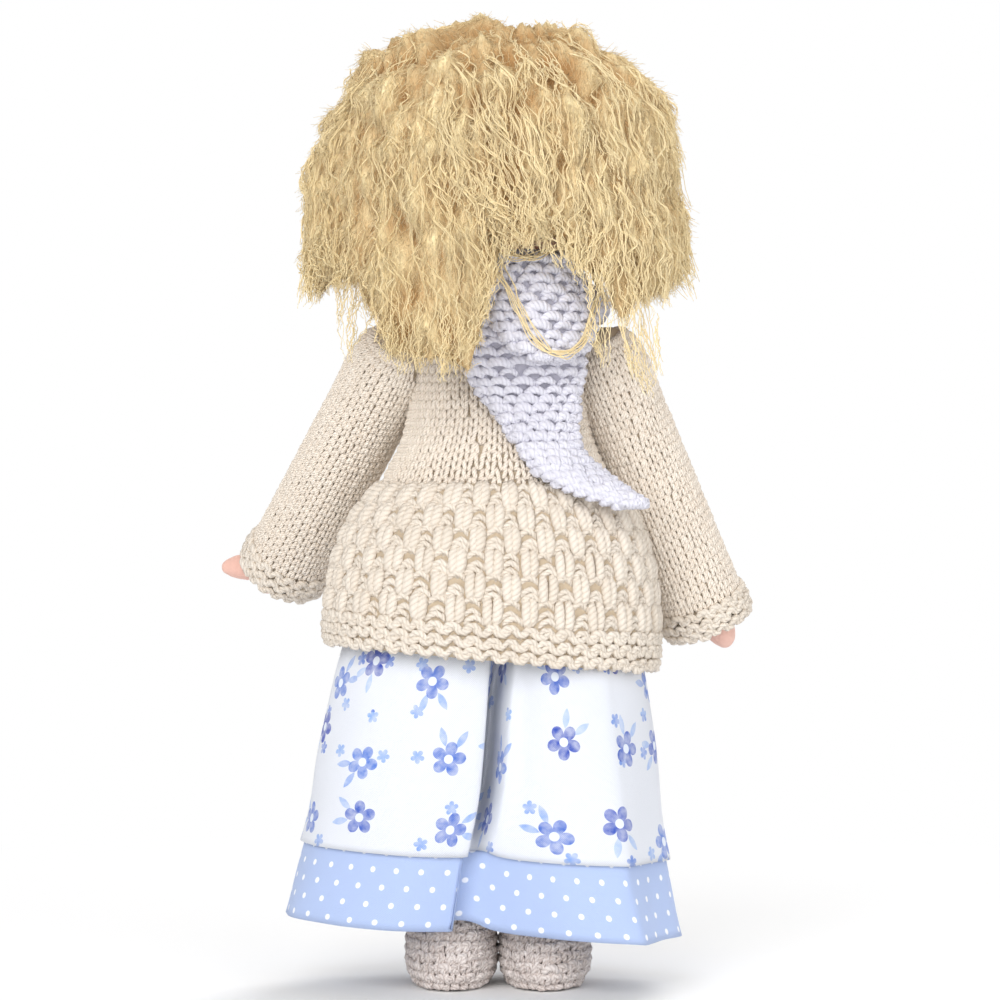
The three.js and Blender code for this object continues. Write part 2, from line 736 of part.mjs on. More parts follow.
function buildHead() {
  const neckHole = NECK_RADIUS + TURN_GAP;
  const outerEnd = Math.PI - Math.asin(neckHole / HEAD_RADIUS);
  const insideRadius = HEAD_RADIUS - SKIN_WALL;
  const insideHalfHeight = HEAD_HALF_HEIGHT - SKIN_WALL;
  const innerEnd = Math.PI - Math.asin(neckHole / insideRadius);
  const skin = [
    ...headArc(insideRadius, insideHalfHeight, 0, innerEnd),
    ...headArc(HEAD_RADIUS, HEAD_HALF_HEIGHT, outerEnd, 0),
  ];
  add(doll, 'head_skin', turned(skin, HEAD_SIDES), SKIN);

  const stuffingRadius = insideRadius - STITCH_GAP;
  const stuffingHalfHeight = insideHalfHeight - STITCH_GAP;
  const stuffingEnd = Math.PI - Math.asin(neckHole / stuffingRadius);
  const dowelHole = DOWEL_RADIUS + TURN_GAP;
  const stuffing = [
    [0, dowelTop + TURN_GAP],
    [dowelHole, dowelTop + TURN_GAP],
    [dowelHole, NECK_TOP + TURN_GAP],
    [neckHole, NECK_TOP + TURN_GAP],
    ...headArc(stuffingRadius, stuffingHalfHeight, stuffingEnd, 0),
  ];
  add(doll, 'head_stuffing', turned(stuffing, HEAD_SIDES), STUFFING);

  const capInside = HEAD_RADIUS + STITCH_GAP;
  const capInsideHalfHeight = HEAD_HALF_HEIGHT + STITCH_GAP;
  const shell = turned([
    ...headArc(capInside, capInsideHalfHeight, 0, outerEnd),
    ...headArc(capRadius, capHalfHeight, outerEnd, 0),
  ], HEAD_SIDES);
  const below = new THREE.BoxGeometry(4 * HEAD_RADIUS, 4 * HEAD_RADIUS, 4 * HEAD_RADIUS);
  below.translate(0, 0, -2 * HEAD_RADIUS);
  const slope = Math.atan2(HAIRLINE_BACK - HAIRLINE_FRONT, 2 * HEAD_RADIUS);
  below.rotateX(slope);
  below.translate(0, 0, (HAIRLINE_FRONT + HAIRLINE_BACK) / 2);
  add(doll, 'wig_cap', cut(shell, below), BLOND_DARK);

  for (const [label, side] of [['left', 1], ['right', -1]]) {
    add(doll, `eye_${label}`, eye(side), EYE_BROWN, HARD_ROUGHNESS);
  }
}

// A bead with a flat back, lying against the face
function eye(side) {
  const profile = [
    [0, 0],
    [0.8 * EYE_RADIUS, 0],
    [EYE_RADIUS, 0.35 * EYE_RADIUS],
    [0.8 * EYE_RADIUS, 0.8 * EYE_RADIUS],
    [0, EYE_RADIUS],
  ];
  const geometry = turned(profile, LIMB_SIDES);
  geometry.rotateX(Math.PI / 2);
  const up = (EYE_HEIGHT - HEAD_CENTRE) / HEAD_HALF_HEIGHT;
  const out = HEAD_RADIUS * Math.sqrt(1 - up * up) + STITCH_GAP;
  geometry.translate(0, -out, EYE_HEIGHT);
  geometry.rotateZ(side * EYE_AZIMUTH);
  return geometry;
}

// Hair: azimuth 0 is the face, a quarter turn is the doll's left

function hairReach(azimuth) {
  const sideways = Math.sin(azimuth) / HAIR_HALF_WIDTH;
  const forward = Math.cos(azimuth) / (Math.cos(azimuth) > 0 ? HAIR_FRONT : HAIR_BACK);
  const wave = 1 - HAIR_WAVE * (1 - Math.cos(HAIR_WAVES * azimuth)) / 2;
  return wave / Math.hypot(sideways, forward);
}

function around(azimuth, radius, height) {
  return new THREE.Vector3(radius * Math.sin(azimuth), -radius * Math.cos(azimuth), height);
}

// Lowest point of the hair at an azimuth
function hairTip(azimuth) {
  const { smoothstep, lerp } = THREE.MathUtils;
  const x = hairReach(azimuth) * Math.sin(azimuth);
  const fromFace = Math.min(azimuth, 2 * Math.PI - azimuth);
  if (fromFace < SIDE_AZIMUTH) {
    return lerp(FRONT_TIP, SIDE_TIP, smoothstep(fromFace, FRINGE_AZIMUTH, SIDE_AZIMUTH));
  }
  const back = smoothstep(fromFace, SIDE_AZIMUTH, (SIDE_AZIMUTH + Math.PI) / 2);
  if (azimuth < Math.PI) {
    return lerp(SIDE_TIP, LEFT_TIP, back);
  }
  const short = smoothstep(x, NAPE_EDGE_X - NAPE_BLEND, NAPE_EDGE_X + NAPE_BLEND);
  return lerp(lerp(SIDE_TIP, RIGHT_TIP, back), NAPE_TIP, short);
}

// A point on the outside of the upper hair; the angle falls from a quarter turn at the top to 0
function hairDome(azimuth, angle) {
  const radius = hairReach(azimuth) * Math.cos(angle) ** (2 / HAIR_POWER);
  const rise = (HAIR_TOP - HAIR_SIDE_HEIGHT) * Math.sin(angle) ** (2 / HAIR_POWER);
  return around(azimuth, radius, HAIR_SIDE_HEIGHT + rise);
}

// A point on the inside of the upper hair, over the cap
function hairBed(azimuth, angle) {
  const radius = hairInside * Math.cos(angle);
  return around(azimuth, radius, HEAD_CENTRE + hairInsideHeight * Math.sin(angle));
}

function hairColumn(azimuth, hanging) {
  const { lerp, clamp } = THREE.MathUtils;
  const outside = [];
  const inside = [];
  const lowest = hanging ? 0 : CROWN_EDGE / 2;
  for (let row = 0; row <= HAIR_UPPER_ROWS; row += 1) {
    const angle = lerp(CROWN_EDGE, lowest, row / HAIR_UPPER_ROWS);
    outside.push(hairDome(azimuth, angle));
    inside.push(hairBed(azimuth, angle));
  }
  if (hanging) {
    const tip = hairTip(azimuth);
    for (let row = 1; row <= HAIR_LOWER_ROWS; row += 1) {
      const part = row / HAIR_LOWER_ROWS;
      const height = lerp(HEAD_CENTRE, tip + TIP_RISE, part);
      const drop = clamp((HEAD_CENTRE - height) / (HEAD_CENTRE - HAIR_SIDE_HEIGHT), 0, 1);
      outside.push(around(azimuth, hairReach(azimuth), lerp(HAIR_SIDE_HEIGHT, tip, part)));
      inside.push(around(azimuth, lerp(hairInside, HAIR_HANG_RADIUS, drop), height));
    }
  }
  return { outside, inside };
}

function lock(fromAzimuth, toAzimuth, hanging) {
  const columns = Math.ceil((toAzimuth - fromAzimuth) / HAIR_STEP_ANGLE);
  const partAngle = HAIR_PART / HEAD_RADIUS;
  const outside = [];
  const inside = [];
  for (let c = 0; c <= columns; c += 1) {
    const azimuth = THREE.MathUtils.lerp(fromAzimuth + partAngle, toAzimuth - partAngle, c / columns);
    const column = hairColumn(azimuth, hanging);
    outside.push(column.outside);
    inside.push(column.inside);
  }
  return slab(outside, inside);
}

function crown() {
  const edge = CROWN_EDGE + (2 * HAIR_PART) / HEAD_RADIUS;
  const middle = (edge + Math.PI / 2) / 2;
  const turnOf = (point, angle) => {
    const points = [];
    for (let i = 0; i < HEAD_SIDES; i += 1) {
      points.push(point((i / HEAD_SIDES) * 2 * Math.PI, angle));
    }
    return points;
  };
  const outside = [turnOf(hairDome, middle), turnOf(hairDome, edge)];
  const inside = [turnOf(hairBed, edge), turnOf(hairBed, middle)];
  const top = new THREE.Vector3(0, 0, HAIR_TOP);
  const bottom = new THREE.Vector3(0, 0, HEAD_CENTRE + hairInsideHeight);
  return loft([...outside, ...inside], top, bottom);
}

function buildHair() {
  const turn = 2 * Math.PI;
  add(doll, 'hair_crown', crown(), BLOND);
  add(doll, 'hair_fringe', lock(-FRINGE_AZIMUTH, FRINGE_AZIMUTH, false), BLOND);
  add(doll, 'hair_side_left', lock(FRINGE_AZIMUTH, SIDE_AZIMUTH, true), BLOND);
  add(doll, 'hair_back_left', lock(SIDE_AZIMUTH, Math.PI, true), BLOND);
  add(doll, 'hair_back_right', lock(Math.PI, turn - SIDE_AZIMUTH, true), BLOND);
  add(doll, 'hair_side_right', lock(turn - SIDE_AZIMUTH, turn - FRINGE_AZIMUTH, true), BLOND);
}

// Clothes

function lean(height) {
  const part = (LEAN_START - height) / (LEAN_START - BLUE_HEM);
  return CLOTHES_LEAN * Math.max(part, 0);
}

function sweaterCentreY(height) {
  const part = (SHOULDER_HEIGHT - height) / (SHOULDER_HEIGHT - HEM_HEIGHT);
  return SWEATER_BACK_SHIFT * Math.max(part, 0);
}

function sweaterRing([height, halfWidth, halfDepth], inset) {
  const y = sweaterCentreY(height);
  return levelRing(lean(height), y, height, halfWidth - inset, halfDepth - inset, SWEATER_SIDES);
}

// The hem slopes, more and more towards its edge
function tilted(points, height) {
  const part = (BAND_TOP - height) / (BAND_TOP - HEM_HEIGHT);
  return points.map((point) => point.clone().setZ(point.z + HEM_TILT * part * point.x));
}

// Half width or half depth of the sweater at a height
function sweaterSize(height, column) {
  const rows = [...BAND_RINGS, ...SWEATER_RINGS];
  const upper = rows.findIndex((row) => row[0] >= height);
  const [low, high] = [rows[upper - 1], rows[upper]];
  const part = (height - low[0]) / (high[0] - low[0]);
  return THREE.MathUtils.lerp(low[column], high[column], part);
}

// The back of the sweater at a place seen from behind
function sweaterBack(x, height) {
  const across = (x - lean(height)) / sweaterSize(height, 1);
  const depth = sweaterSize(height, 2) * Math.sqrt(Math.max(1 - across * across, 0));
  return sweaterCentreY(height) + depth;
}

function buildSweater() {
  const outside = SWEATER_RINGS.map((row) => sweaterRing(row, 0));
  const inside = SWEATER_RINGS.map((row) => sweaterRing(row, SWEATER_WALL));
  const armholeRadius = ARM_DOME + 2 * TURN_GAP;
  const armholes = barAlongX(armholeRadius, -CUT_REACH, CUT_REACH, SHOULDER_HEIGHT, BODY_SIDES);
  add(doll, 'sweater_body', cut(tube(outside, inside), armholes), CREAM);

  const bandOutside = BAND_RINGS.map((row) => tilted(sweaterRing(row, 0), row[0]));
  const bandInside = BAND_RINGS.map((row) => tilted(sweaterRing(row, BAND_WALL), row[0]));
  add(doll, 'sweater_hem_band', tube(bandOutside, bandInside), CREAM_DARK);

  const [neckHeight, neckHalfWidth, neckHalfDepth] = SWEATER_RINGS[SWEATER_RINGS.length - 1];
  const bottom = neckHeight + STITCH_GAP;
  const neckRing = (height, inset) =>
    levelRing(0, 0, height, neckHalfWidth - inset, neckHalfDepth - inset, BODY_SIDES);
  const heights = [bottom, bottom + NECKBAND_HEIGHT];
  const neckOutside = heights.map((height) => neckRing(height, 0));
  const neckInside = heights.map((height) => neckRing(height, NECKBAND_WALL));
  add(doll, 'sweater_neckband', tube(neckOutside, neckInside), CREAM_DARK);
}

// How far a pleat pushes the cloth in, as a share of its distance from the middle
function pleatDepth(angle, height) {
  const grow = (SKIRT_TOP - height) / (SKIRT_TOP - BLUE_HEM);
  const degrees = THREE.MathUtils.radToDeg(angle);
  const hemRadius = SKIRT_RINGS[SKIRT_RINGS.length - 1][2];
  let share = 0;
  for (const { azimuth, depth, width } of PLEATS) {
    const apart = Math.abs(((degrees - azimuth + 540) % 360) - 180);
    share += (depth / hemRadius) * Math.exp(-((apart / width) ** 2));
  }
  return grow * share;
}

function skirtRing([height, halfWidth, halfDepth, y], inset) {
  const points = [];
  for (let i = 0; i < SKIRT_SIDES; i += 1) {
    const angle = (i / SKIRT_SIDES) * 2 * Math.PI;
    const reach = 1 - pleatDepth(angle, height);
    const x = lean(height) + (halfWidth - inset) * reach * Math.cos(angle);
    points.push(new THREE.Vector3(x, y + (halfDepth - inset) * reach * Math.sin(angle), height));
  }
  return points;
}

function skirtTube(rows, inset) {
  const outside = rows.map((row) => skirtRing(row, inset));
  const inside = rows.map((row) => skirtRing(row, inset + SKIRT_WALL));
  return tube(outside, inside);
}

function buildSkirt() {
  const bottom = SKIRT_TOP;
  const heights = [bottom, bottom + WAISTBAND_HEIGHT];
  const bandRing = (height, inset) =>
    levelRing(0, 0, height, waistbandHalfWidth - inset, waistbandHalfDepth - inset, BODY_SIDES);
  const outside = heights.map((height) => bandRing(height, 0));
  const inside = heights.map((height) => bandRing(height, WAISTBAND_WALL));
  add(doll, 'skirt_waistband', tube(outside, inside), WHITE_COTTON);

  const white = SKIRT_RINGS.filter(([height]) => height >= WHITE_HEM);
  const blue = SKIRT_RINGS.filter(([height]) => height <= BLUE_TOP);
  add(doll, 'skirt_body', skirtTube(white, 0), WHITE_COTTON);
  add(doll, 'skirt_hem_band', skirtTube(blue, SKIRT_WALL + STITCH_GAP), BLUE_COTTON);
}

// Scarf

function scarfTurn() {
  const rings = [];
  for (let i = 0; i < SCARF_SIDES; i += 1) {
    const angle = (i / SCARF_SIDES) * 2 * Math.PI;
    const outward = new THREE.Vector3(Math.cos(angle), Math.sin(angle), 0);
    const saddle = SCARF_SADDLE * Math.cos(2 * angle);
    const centre = outward.clone().multiplyScalar(SCARF_RADIUS).setZ(SCARF_CENTRE + saddle);
    const up = new THREE.Vector3(0, 0, 1);
    rings.push(ring(centre, outward, up, SCARF_HALF_WIDTH, SCARF_HALF_HEIGHT - saddle, SCARF_TUBE_SIDES));
  }
  return hoop(rings);
}

// A scarf end: rows of points from its left edge to its right, lying at the depth that backOf gives
function scarfEnd(outline, backOf) {
  const outside = [];
  const inside = [];
  for (const { height, left, right } of outline) {
    const row = [];
    for (let i = 0; i <= SCARF_STEPS; i += 1) {
      const x = THREE.MathUtils.lerp(left, right, i / SCARF_STEPS);
      row.push(new THREE.Vector3(x, backOf(x, height), height));
    }
    inside.push(row);
    outside.push(row.map((point) => point.clone().add(new THREE.Vector3(0, SCARF_THICKNESS, 0))));
  }
  return slab(outside, inside);
}

function buildScarf() {
  const turnRadius = SCARF_RADIUS + SCARF_HALF_WIDTH + STITCH_GAP;
  const onTurn = (x, extra) => Math.sqrt((turnRadius + extra) ** 2 - x * x);
  const tailBack = (x, height) => {
    const fall = THREE.MathUtils.smoothstep(height, SCARF_FALL.to, SCARF_FALL.from);
    const onSweater = sweaterBack(SCARF_BRIDGE * x, height) + 2 * STITCH_GAP;
    return fall > 0 ? THREE.MathUtils.lerp(onSweater, onTurn(x, 0), fall) : onSweater;
  };
  const flapBack = (x) => onTurn(x, SCARF_THICKNESS + 2 * STITCH_GAP);
  add(doll, 'scarf_turn', scarfTurn(), LILAC_WHITE);
  add(doll, 'scarf_tail', scarfEnd(SCARF_TAIL, tailBack), LILAC_WHITE);
  add(doll, 'scarf_flap', scarfEnd(SCARF_FLAP, flapBack), LILAC_WHITE);
}

buildTorso();
buildThreads();
buildArm('left', 1, LEFT_SPREAD, LEFT_SWING);
buildArm('right', -1, RIGHT_SPREAD, RIGHT_SWING);
buildLeg('left', 1);
buildLeg('right', -1);
buildHead();
buildHair();
buildSweater();
buildSkirt();
buildScarf();

export default doll;
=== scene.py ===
"""Looks of the rag doll: its knitted, sewn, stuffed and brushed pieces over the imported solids."""

import math

import bpy
import numpy as np
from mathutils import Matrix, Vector, noise


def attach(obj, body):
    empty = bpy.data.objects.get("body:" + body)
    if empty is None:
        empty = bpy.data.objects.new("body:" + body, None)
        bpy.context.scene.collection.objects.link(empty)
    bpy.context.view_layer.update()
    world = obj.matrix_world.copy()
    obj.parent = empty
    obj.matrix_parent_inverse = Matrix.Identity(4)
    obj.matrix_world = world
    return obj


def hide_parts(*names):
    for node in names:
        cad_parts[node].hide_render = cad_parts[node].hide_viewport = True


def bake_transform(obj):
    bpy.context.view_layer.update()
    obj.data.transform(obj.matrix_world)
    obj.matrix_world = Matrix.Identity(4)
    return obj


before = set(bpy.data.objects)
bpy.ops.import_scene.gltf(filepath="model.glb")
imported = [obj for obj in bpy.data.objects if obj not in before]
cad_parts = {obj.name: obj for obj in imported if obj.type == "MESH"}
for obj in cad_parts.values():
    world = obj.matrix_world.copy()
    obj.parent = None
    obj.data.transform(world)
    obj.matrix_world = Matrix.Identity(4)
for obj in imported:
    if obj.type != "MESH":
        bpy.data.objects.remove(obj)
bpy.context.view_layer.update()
bpy.ops.object.select_all(action="DESELECT")

# Sizes are in millimetres up to the mesh, which is in metres
MM = 0.001
TURN = 2 * math.pi
# Steps round and along a surface that its direction is measured over
STEP_ROUND = 1e-3
STEP_ALONG = 0.1
chance = np.random.default_rng(11)

# Camera
VIEW_DISTANCE = 1000
VIEW_WIDTH = 311.5
VIEW_MIDDLE = (-0.6, 151)
SENSOR = 36

# Lamps: name, place in metres, power in watts, size in metres
LAMPS = [
    ("key", (0.55, 1.5, 0.8), 19.5, 1.2),
    ("fill", (-0.9, 1.4, 0.5), 10.5, 1.4),
    ("front_key", (-0.6, -1.3, 1.2), 18, 1.0),
]
LAMP_AIM = (0, 0, 0.15)
SKY_STRENGTH = 0.52

# Floor, in metres: it fades to white between two distances from the doll
FLOOR_RADIUS = 3
FLOOR_DROP = 0.0002
FLOOR_WHITE = 0.93
FLOOR_FADE = (0.1, 0.45)

# Yarn: fibres and patches of its noise for each metre, and the plies that it is spun from
FIBRES_IN_YARN = 2600.0
PATCHES_IN_YARN = 90.0
PLIES = 3.0

# Sweater
SHOULDER_HEIGHT = 193
BAND_TOP = 156
HEM_HEIGHT = 103
HEM_TILT = 0.085
SWEATER_BACK_SHIFT = 4
BODY_ROWS = [
    (152, 35.6, 26.4),
    (160, 33.4, 25),
    (166, 30.4, 23.5),
    (177, 27.4, 20.5),
    (185, 27.4, 18.8),
    (193, 27.3, 17.2),
    (199, 26.4, 15.8),
    (203, 22.8, 14.6),
    (206, 17, 13.6),
    (207.2, 13.6, 12.8),
]
BAND_ROWS = [
    (102.6, 50.4, 33.2),
    (106, 51.2, 33.8),
    (118, 50.4, 33.4),
    (132, 48.4, 32.4),
    (141, 45.6, 31),
    (149, 41, 29.2),
    (156, 35.4, 26.8),
]
STITCH_WIDTH = 2.55
STITCH_HEIGHT = 2.75
STITCH_RADIUS = 0.72
STITCH_JITTER = 0.04
# How much the size and the height of a stitch vary, in jitters
SIZE_JITTERS = 1.6
OUT_JITTERS = 2
# How far the first and the last row lie from the edges
BODY_EDGES = (0.5, 1)
RIDGE_YARN = 1.1
RIDGE_JITTER = 0.05
WAFFLE_WIDTH = 9.2
WAFFLE_HEIGHT = 7.2
RIDGE_HEIGHT = 3.7
RIDGES = 3
RIDGE_START = 1.4
WAFFLE_RADIUS = 1.7
WAFFLE_GIRTH = 257
BAR_RADIUS = 1.05
WAFFLE_JITTER = 0.03
WAFFLE_EDGES = (0.4, 0.5)
# How high the short bars of the waffle lie, in rows
BAR_LIFTS = (0.1, 0.36, 0.82)
NECK_ROWS = [(206.6, 13.6, 12.8), (208, 13.4, 12.6), (210, 13.2, 12.4), (211, 12.8, 12)]
NECK_ROW_HEIGHT = 2
NECK_START = 0.8
NECK_YARN = 0.7
# Below a height the clothes lean to the doll's left, by so much over so long a drop
LEAN_TOP = 175
LEAN_SHIFT = 4.7
LEAN_DROP = 156

# Stitches round each knitted piece
BODY_STITCHES = 58
BAND_STITCHES = 56
NECK_STITCHES = 30
SLEEVE_STITCHES = 31
CUFF_STITCHES = 20
BOOT_STITCHES = 26
TURN_STITCHES = 11
END_STITCHES = 15

# Sheet behind the stitches, coloured darker as painted shade in their gaps: points round and along it,
# outer and inner face of its wall in mm
BODY_GROUND = (72, 24, -0.35, -1.3)
BAND_GROUND = (72, 24, 0.1, -2.3)
NECK_GROUND = (40, 6, -0.4, -2.6)
SLEEVE_GROUND = (36, 30, -0.35, -1.6)
CUFF_GROUND = (40, 8, -0.6, -1.8)
BOOT_GROUND = (40, 14, -0.6, -2)
TURN_GROUND = (24, 60, 0.1, -2.5)
END_GROUND = (40, 30, 0.2, -1.2)

# Arms
ARM_X = 33.2
ARMHOLE_X = 26.2
SPREAD = {"left": math.radians(24.2), "right": math.radians(21.9)}
SWING = {"left": math.radians(38), "right": math.radians(16)}
SIDE = {"left": 1, "right": -1}
SLEEVE_ROWS = [
    (82, 13.1),
    (45, 12.7),
    (16, 12.5),
    (1, 12.5),
    (-3.2, 12),
    (-7.6, 9.7),
    (-11, 5.6),
    (-12.2, 0.6),
]
SLEEVE_START = 0.3
SLEEVE_CAP = 9
CUFF_START = 1.4
CUFF_RIDGE = 3.3
CUFF_ROWS = [(91, 12.9), (88.5, 13.9), (85.5, 14), (82.5, 13.4), (80.5, 13.1)]
ARM_ROWS = [
    (-8, 0.4, 0.4),
    (-6.4, 4, 4.4),
    (-3.4, 6.4, 7),
    (0, 7.3, 8),
    (10, 7.3, 8),
    (32, 6.8, 7.2),
    (56, 6, 6.2),
    (77, 5.2, 5.2),
    (86, 5.2, 5.8),
    (92, 5.2, 6.4),
    (97, 4.2, 5.4),
    (99.8, 2.4, 3.4),
    (101, 0.4, 0.4),
]
WRIST = 77
HAND_SHIFT = 3
ARM_LENGTH = 101
THUMB_START = {"left": 89, "right": 84}
THUMB_LENGTH = {"left": 20, "right": 12}
THUMB_RADIUS = 2.7
TIP_RADIUS = 0.4
THUMB_TURN = {"left": math.radians(-64), "right": math.radians(38)}

# Legs and boots
LEG_X = 14.6
LEG_ROWS = [
    (4.4, 0.5, 0.5, -6),
    (4.9, 7.4, 15.8, -6),
    (8.4, 9.2, 18.2, -6),
    (13, 9, 14.8, -4.5),
    (20, 8.1, 9.7, -1),
    (29, 7.8, 8, 0),
    (48, 8.2, 8.4, 0),
    (72, 8.8, 9, 0),
    (96, 9, 9, 0),
    (103, 9, 9, 0),
    (108.5, 6.6, 6.6, 0),
    (112, 0.5, 0.5, 0),
]
BOOT_ROWS = [
    (0.9, 9.5, 18, -6),
    (1.8, 11, 19.8, -6),
    (5, 12.7, 21.6, -6),
    (11, 13.2, 21.8, -6),
    (18, 12.7, 17.7, -4.2),
    (24, 11.6, 13, -1.4),
    (29, 10.7, 11.1, 0),
]
CROCHET_HEIGHT = 3.3
CROCHET_BUMP = 0.95
CROCHET_POST = 0.85
CROCHET_JITTER = 0.07
CROCHET_EDGES = (1.2, 0.8)
SOLE_HEIGHT = 0.05

# Points round and along the forms that the skins are made from
LIMB_GRID = (28, 48)
THUMB_GRID = (16, 16)
TORSO_GRID = (32, 60)
HEAD_GRID = (48, 60)
# Stuffing of the skins: size of their faces in mm, pressure, how far they swell in mm, how full they are
ARM_FILLING = (1.3, 3, 0.5, 0.8)
LEG_FILLING = (1.8, 3, 0.2, 0.8)
TORSO_FILLING = (2.2, 2, 0.2, 0.7)
HEAD_FILLING = (2.4, 2, 0.2, 0.9)
CLOTH_STIFFNESS = 20
CLOTH_STEPS = 14

# Torso
TORSO_ROWS = [
    (89, 0.5, 0.5),
    (91, 4, 5.8),
    (96, 5.1, 8.9),
    (113, 5.1, 10.9),
    (117.5, 15.8, 13.8),
    (125, 21.9, 15.9),
    (145, 21.9, 15.9),
    (170, 23.9, 15.4),
    (193, 25.2, 12.9),
    (200, 18, 11.5),
    (204, 11.5, 10),
    (206.5, 9.5, 9.5),
    (216, 9.4, 9.4),
]

# Head and hair
HEAD_CENTRE = 250
HEAD_RADIUS = 39
HEAD_HALF_HEIGHT = 38.5
NECK_RADIUS = 9.5
NECK_GAP = 0.4
HEAD_RINGS = 40
# Angle that is left open at the crown, in radians
CROWN_OPEN = 0.012
CAP_GAP = 0.9
CAP_WALL = (0.4, -0.4)
CAP_COLUMNS = 64
CAP_ROWS = 24
# How much of the way to the crown the cap reaches
CAP_REACH = 0.96
HAIR_TOP = 300
HAIR_SIDE_HEIGHT = 228
HAIR_HALF_WIDTH = 63
HAIR_BACK = 59.5
HAIR_FRONT = 50
HAIR_POWER = 2.8
HAIR_SWELL = 0.6
HAIR_VOXEL = 1.25
HAIRLINE_FRONT = 276
HAIRLINE_BACK = 233
FRINGE_AZIMUTH = math.radians(48)
SIDE_AZIMUTH = math.radians(105)
FRONT_TIP = 215
SIDE_TIP = 211
LEFT_TIP = 194
RIGHT_TIP = 197
NAPE_TIP = 230
NAPE_EDGE_X = -32
NAPE_BLEND = 3
HAIR_NODES = [
    "hair_crown",
    "hair_fringe",
    "hair_side_left",
    "hair_side_right",
    "hair_back_left",
    "hair_back_right",
]
STRANDS = 36
STRAND_TOP = 236
STRAND_MIDDLE = 7
STRAND_TAPER = 0.65
STRAND_CURL = 0.55
# How far the strands wander aside, in strands, and the noise that leads them: its turns and its size
STRAND_WANDER = 0.9
WANDER_TURNS = 3
WANDER_SIZE = 26
# Roundness of a strand, and the part of its height that lies below the middle
STRAND_ROUND = 0.6
STRAND_BELOW = 0.6
STRAND_LENGTHS = (0.85, 1.15)
# Lower edge of the hair: azimuth in degrees from the face over the doll's left, and height
TRIM_LINE = [
    (0, 215), (52, 221), (66, 223), (90, 220), (106, 217), (114, 221), (124, 217), (134, 206), (141, 200),
    (157, 194), (169, 192), (174, 204), (180, 225), (194, 229), (211, 217), (220, 205), (229, 203),
    (240, 210), (250, 217), (262, 222), (275, 221), (290, 217), (360, 215),
]
# Share of the solids' half width that the brushed hair keeps: (height, on the doll's left, on its right)
HAIR_SHARES = [
    (205, 0.97, 0.95), (232, 0.96, 0.945), (248, 0.96, 0.91), (262, 0.95, 0.925), (271, 0.905, 0.935),
    (277, 0.90, 0.95), (283, 0.91, 0.89), (288, 0.94, 0.82), (294, 0.97, 0.81), (304, 0.98, 0.81),
]
# Lumps of the hair: their sizes along the axes, how far each kind stands out, and where it fades
CLUMP_SIZE = [8, 8, 13]
BROAD_SIZE = [12, 12, 10]
BROAD_SHARE = 1.6
BROAD_FADE = (236, 278)
WOOL_SIZE = [2, 2, 9]
WOOL_RISE = 1.2
STRAND_RISE = 3
STRAND_FADE = (14, 36)
CLUMP_RISE = 3.6
HAIR_SINK = 2.4
TIP_CALM = 0.5
TOP_SINK = 1.6
TOP_FADE = (270, 298)
CROWN_FADE = (282, 299)
CROWN_LIFT = 0.9
CROWN_SHADE = 0.55
SHADE_FADE = (258, 292)
LUMP_SHADE = 0.45
PARTING_SHADE = 0.5
LOCK_FIBRES = 3
LOCK_RADIUS = 0.14
LOCK_SINK = 0.9
LOCK_FALL = (270, 297)
LOCK_SPREAD = 0.09
LOCK_RAGGED = (-4, 4)
LOCK_LEAST = 6
# Locks on each part: how many, the azimuths and heights they start between, their lengths and slant
HAIR_LOCKS = {
    "left": [
        (110, (math.radians(88), math.pi), (222, 285), (16, 50), 0.05),
        (36, (math.radians(150), math.pi), (240, 285), (20, 50), 0.3),
    ],
    "right": [
        (130, (math.pi, math.radians(272)), (232, 285), (16, 50), 0.08),
    ],
    "front": [
        (36, (0.85, 1.6), (226, 294), (16, 45), 0),
        (36, (-1.6, -0.85), (226, 294), (16, 45), 0),
        (24, (-FRINGE_AZIMUTH, FRINGE_AZIMUTH), (284, 298), (6, 10), 0),
        (30, (0, TURN), (297, 299.6), (8, 24), 0),
    ],
}
# Crinkles of the fibres: waves of (number along the fibre, size)
LOCK_OUT = [(1.5, 0.8), (5, 0.4)]
LOCK_ASIDE = [(1.1, 2.2), (3.3, 0.6), (7, 0.2)]
FIBRE_OUT = [(3, 0.4), (8, 0.1)]
FIBRE_ASIDE = [(2.5, 0.5), (6, 0.2)]
STRAND_ACROSS = [(0.7, 0.9), (2.6, 0.5), (6, 0.2)]
STRAND_UP = [(0.8, 0.9), (2.2, 0.5), (6, 0.2)]
WISP_TURN = [(2, 0.012), (6, 0.008)]
CRINKLE_STRENGTHS = (0.4, 1.3)
EYE_LEVEL = np.array([0, 0, 235])
# Strands that cross the scarf, as places of (x, height), and how far out they lie on its flap
ON_FLAP = 6.4
STRAND_RADIUS = 0.15
STRAND_SPREAD = 0.4
STRAND_LIFT = 0.3
CROSSING_STRANDS = [
    [(4, 229), (-4, 224), (-11, 223.5), (-17, 226.5), (-24, 225), (-29, 219), (-33, 211)],
    [(1, 222), (-3, 215), (-6, 208), (-10, 200.5), (-15, 195.5), (-20, 194.5), (-25, 197.5), (-28, 205),
     (-31, 214)],
]
PARTING_X = -4
PARTING_WIDTH = 2.2
PARTING_DEPTH = 2.6
PARTING_FADE = (284, 268)
WISP_TOP = 291
WISP_RADIUS = 0.17
WISP_LENGTHS = (10, 26)
WISP_ROOTS = (-9, 0.5)
WISP_SPREAD = 0.06
# How much of their spread and of their depth the fibres lose to the tip, and of their thickness
WISP_GATHER = 0.75
WISP_RETURN = 0.6
WISP_TAPER = 0.4
WISP_RAGGED = (0, 6)
SHORT_WISPS = 36
SHORT_WISP_DROP = 16
SHORT_WISP_OUT = (0, 4)
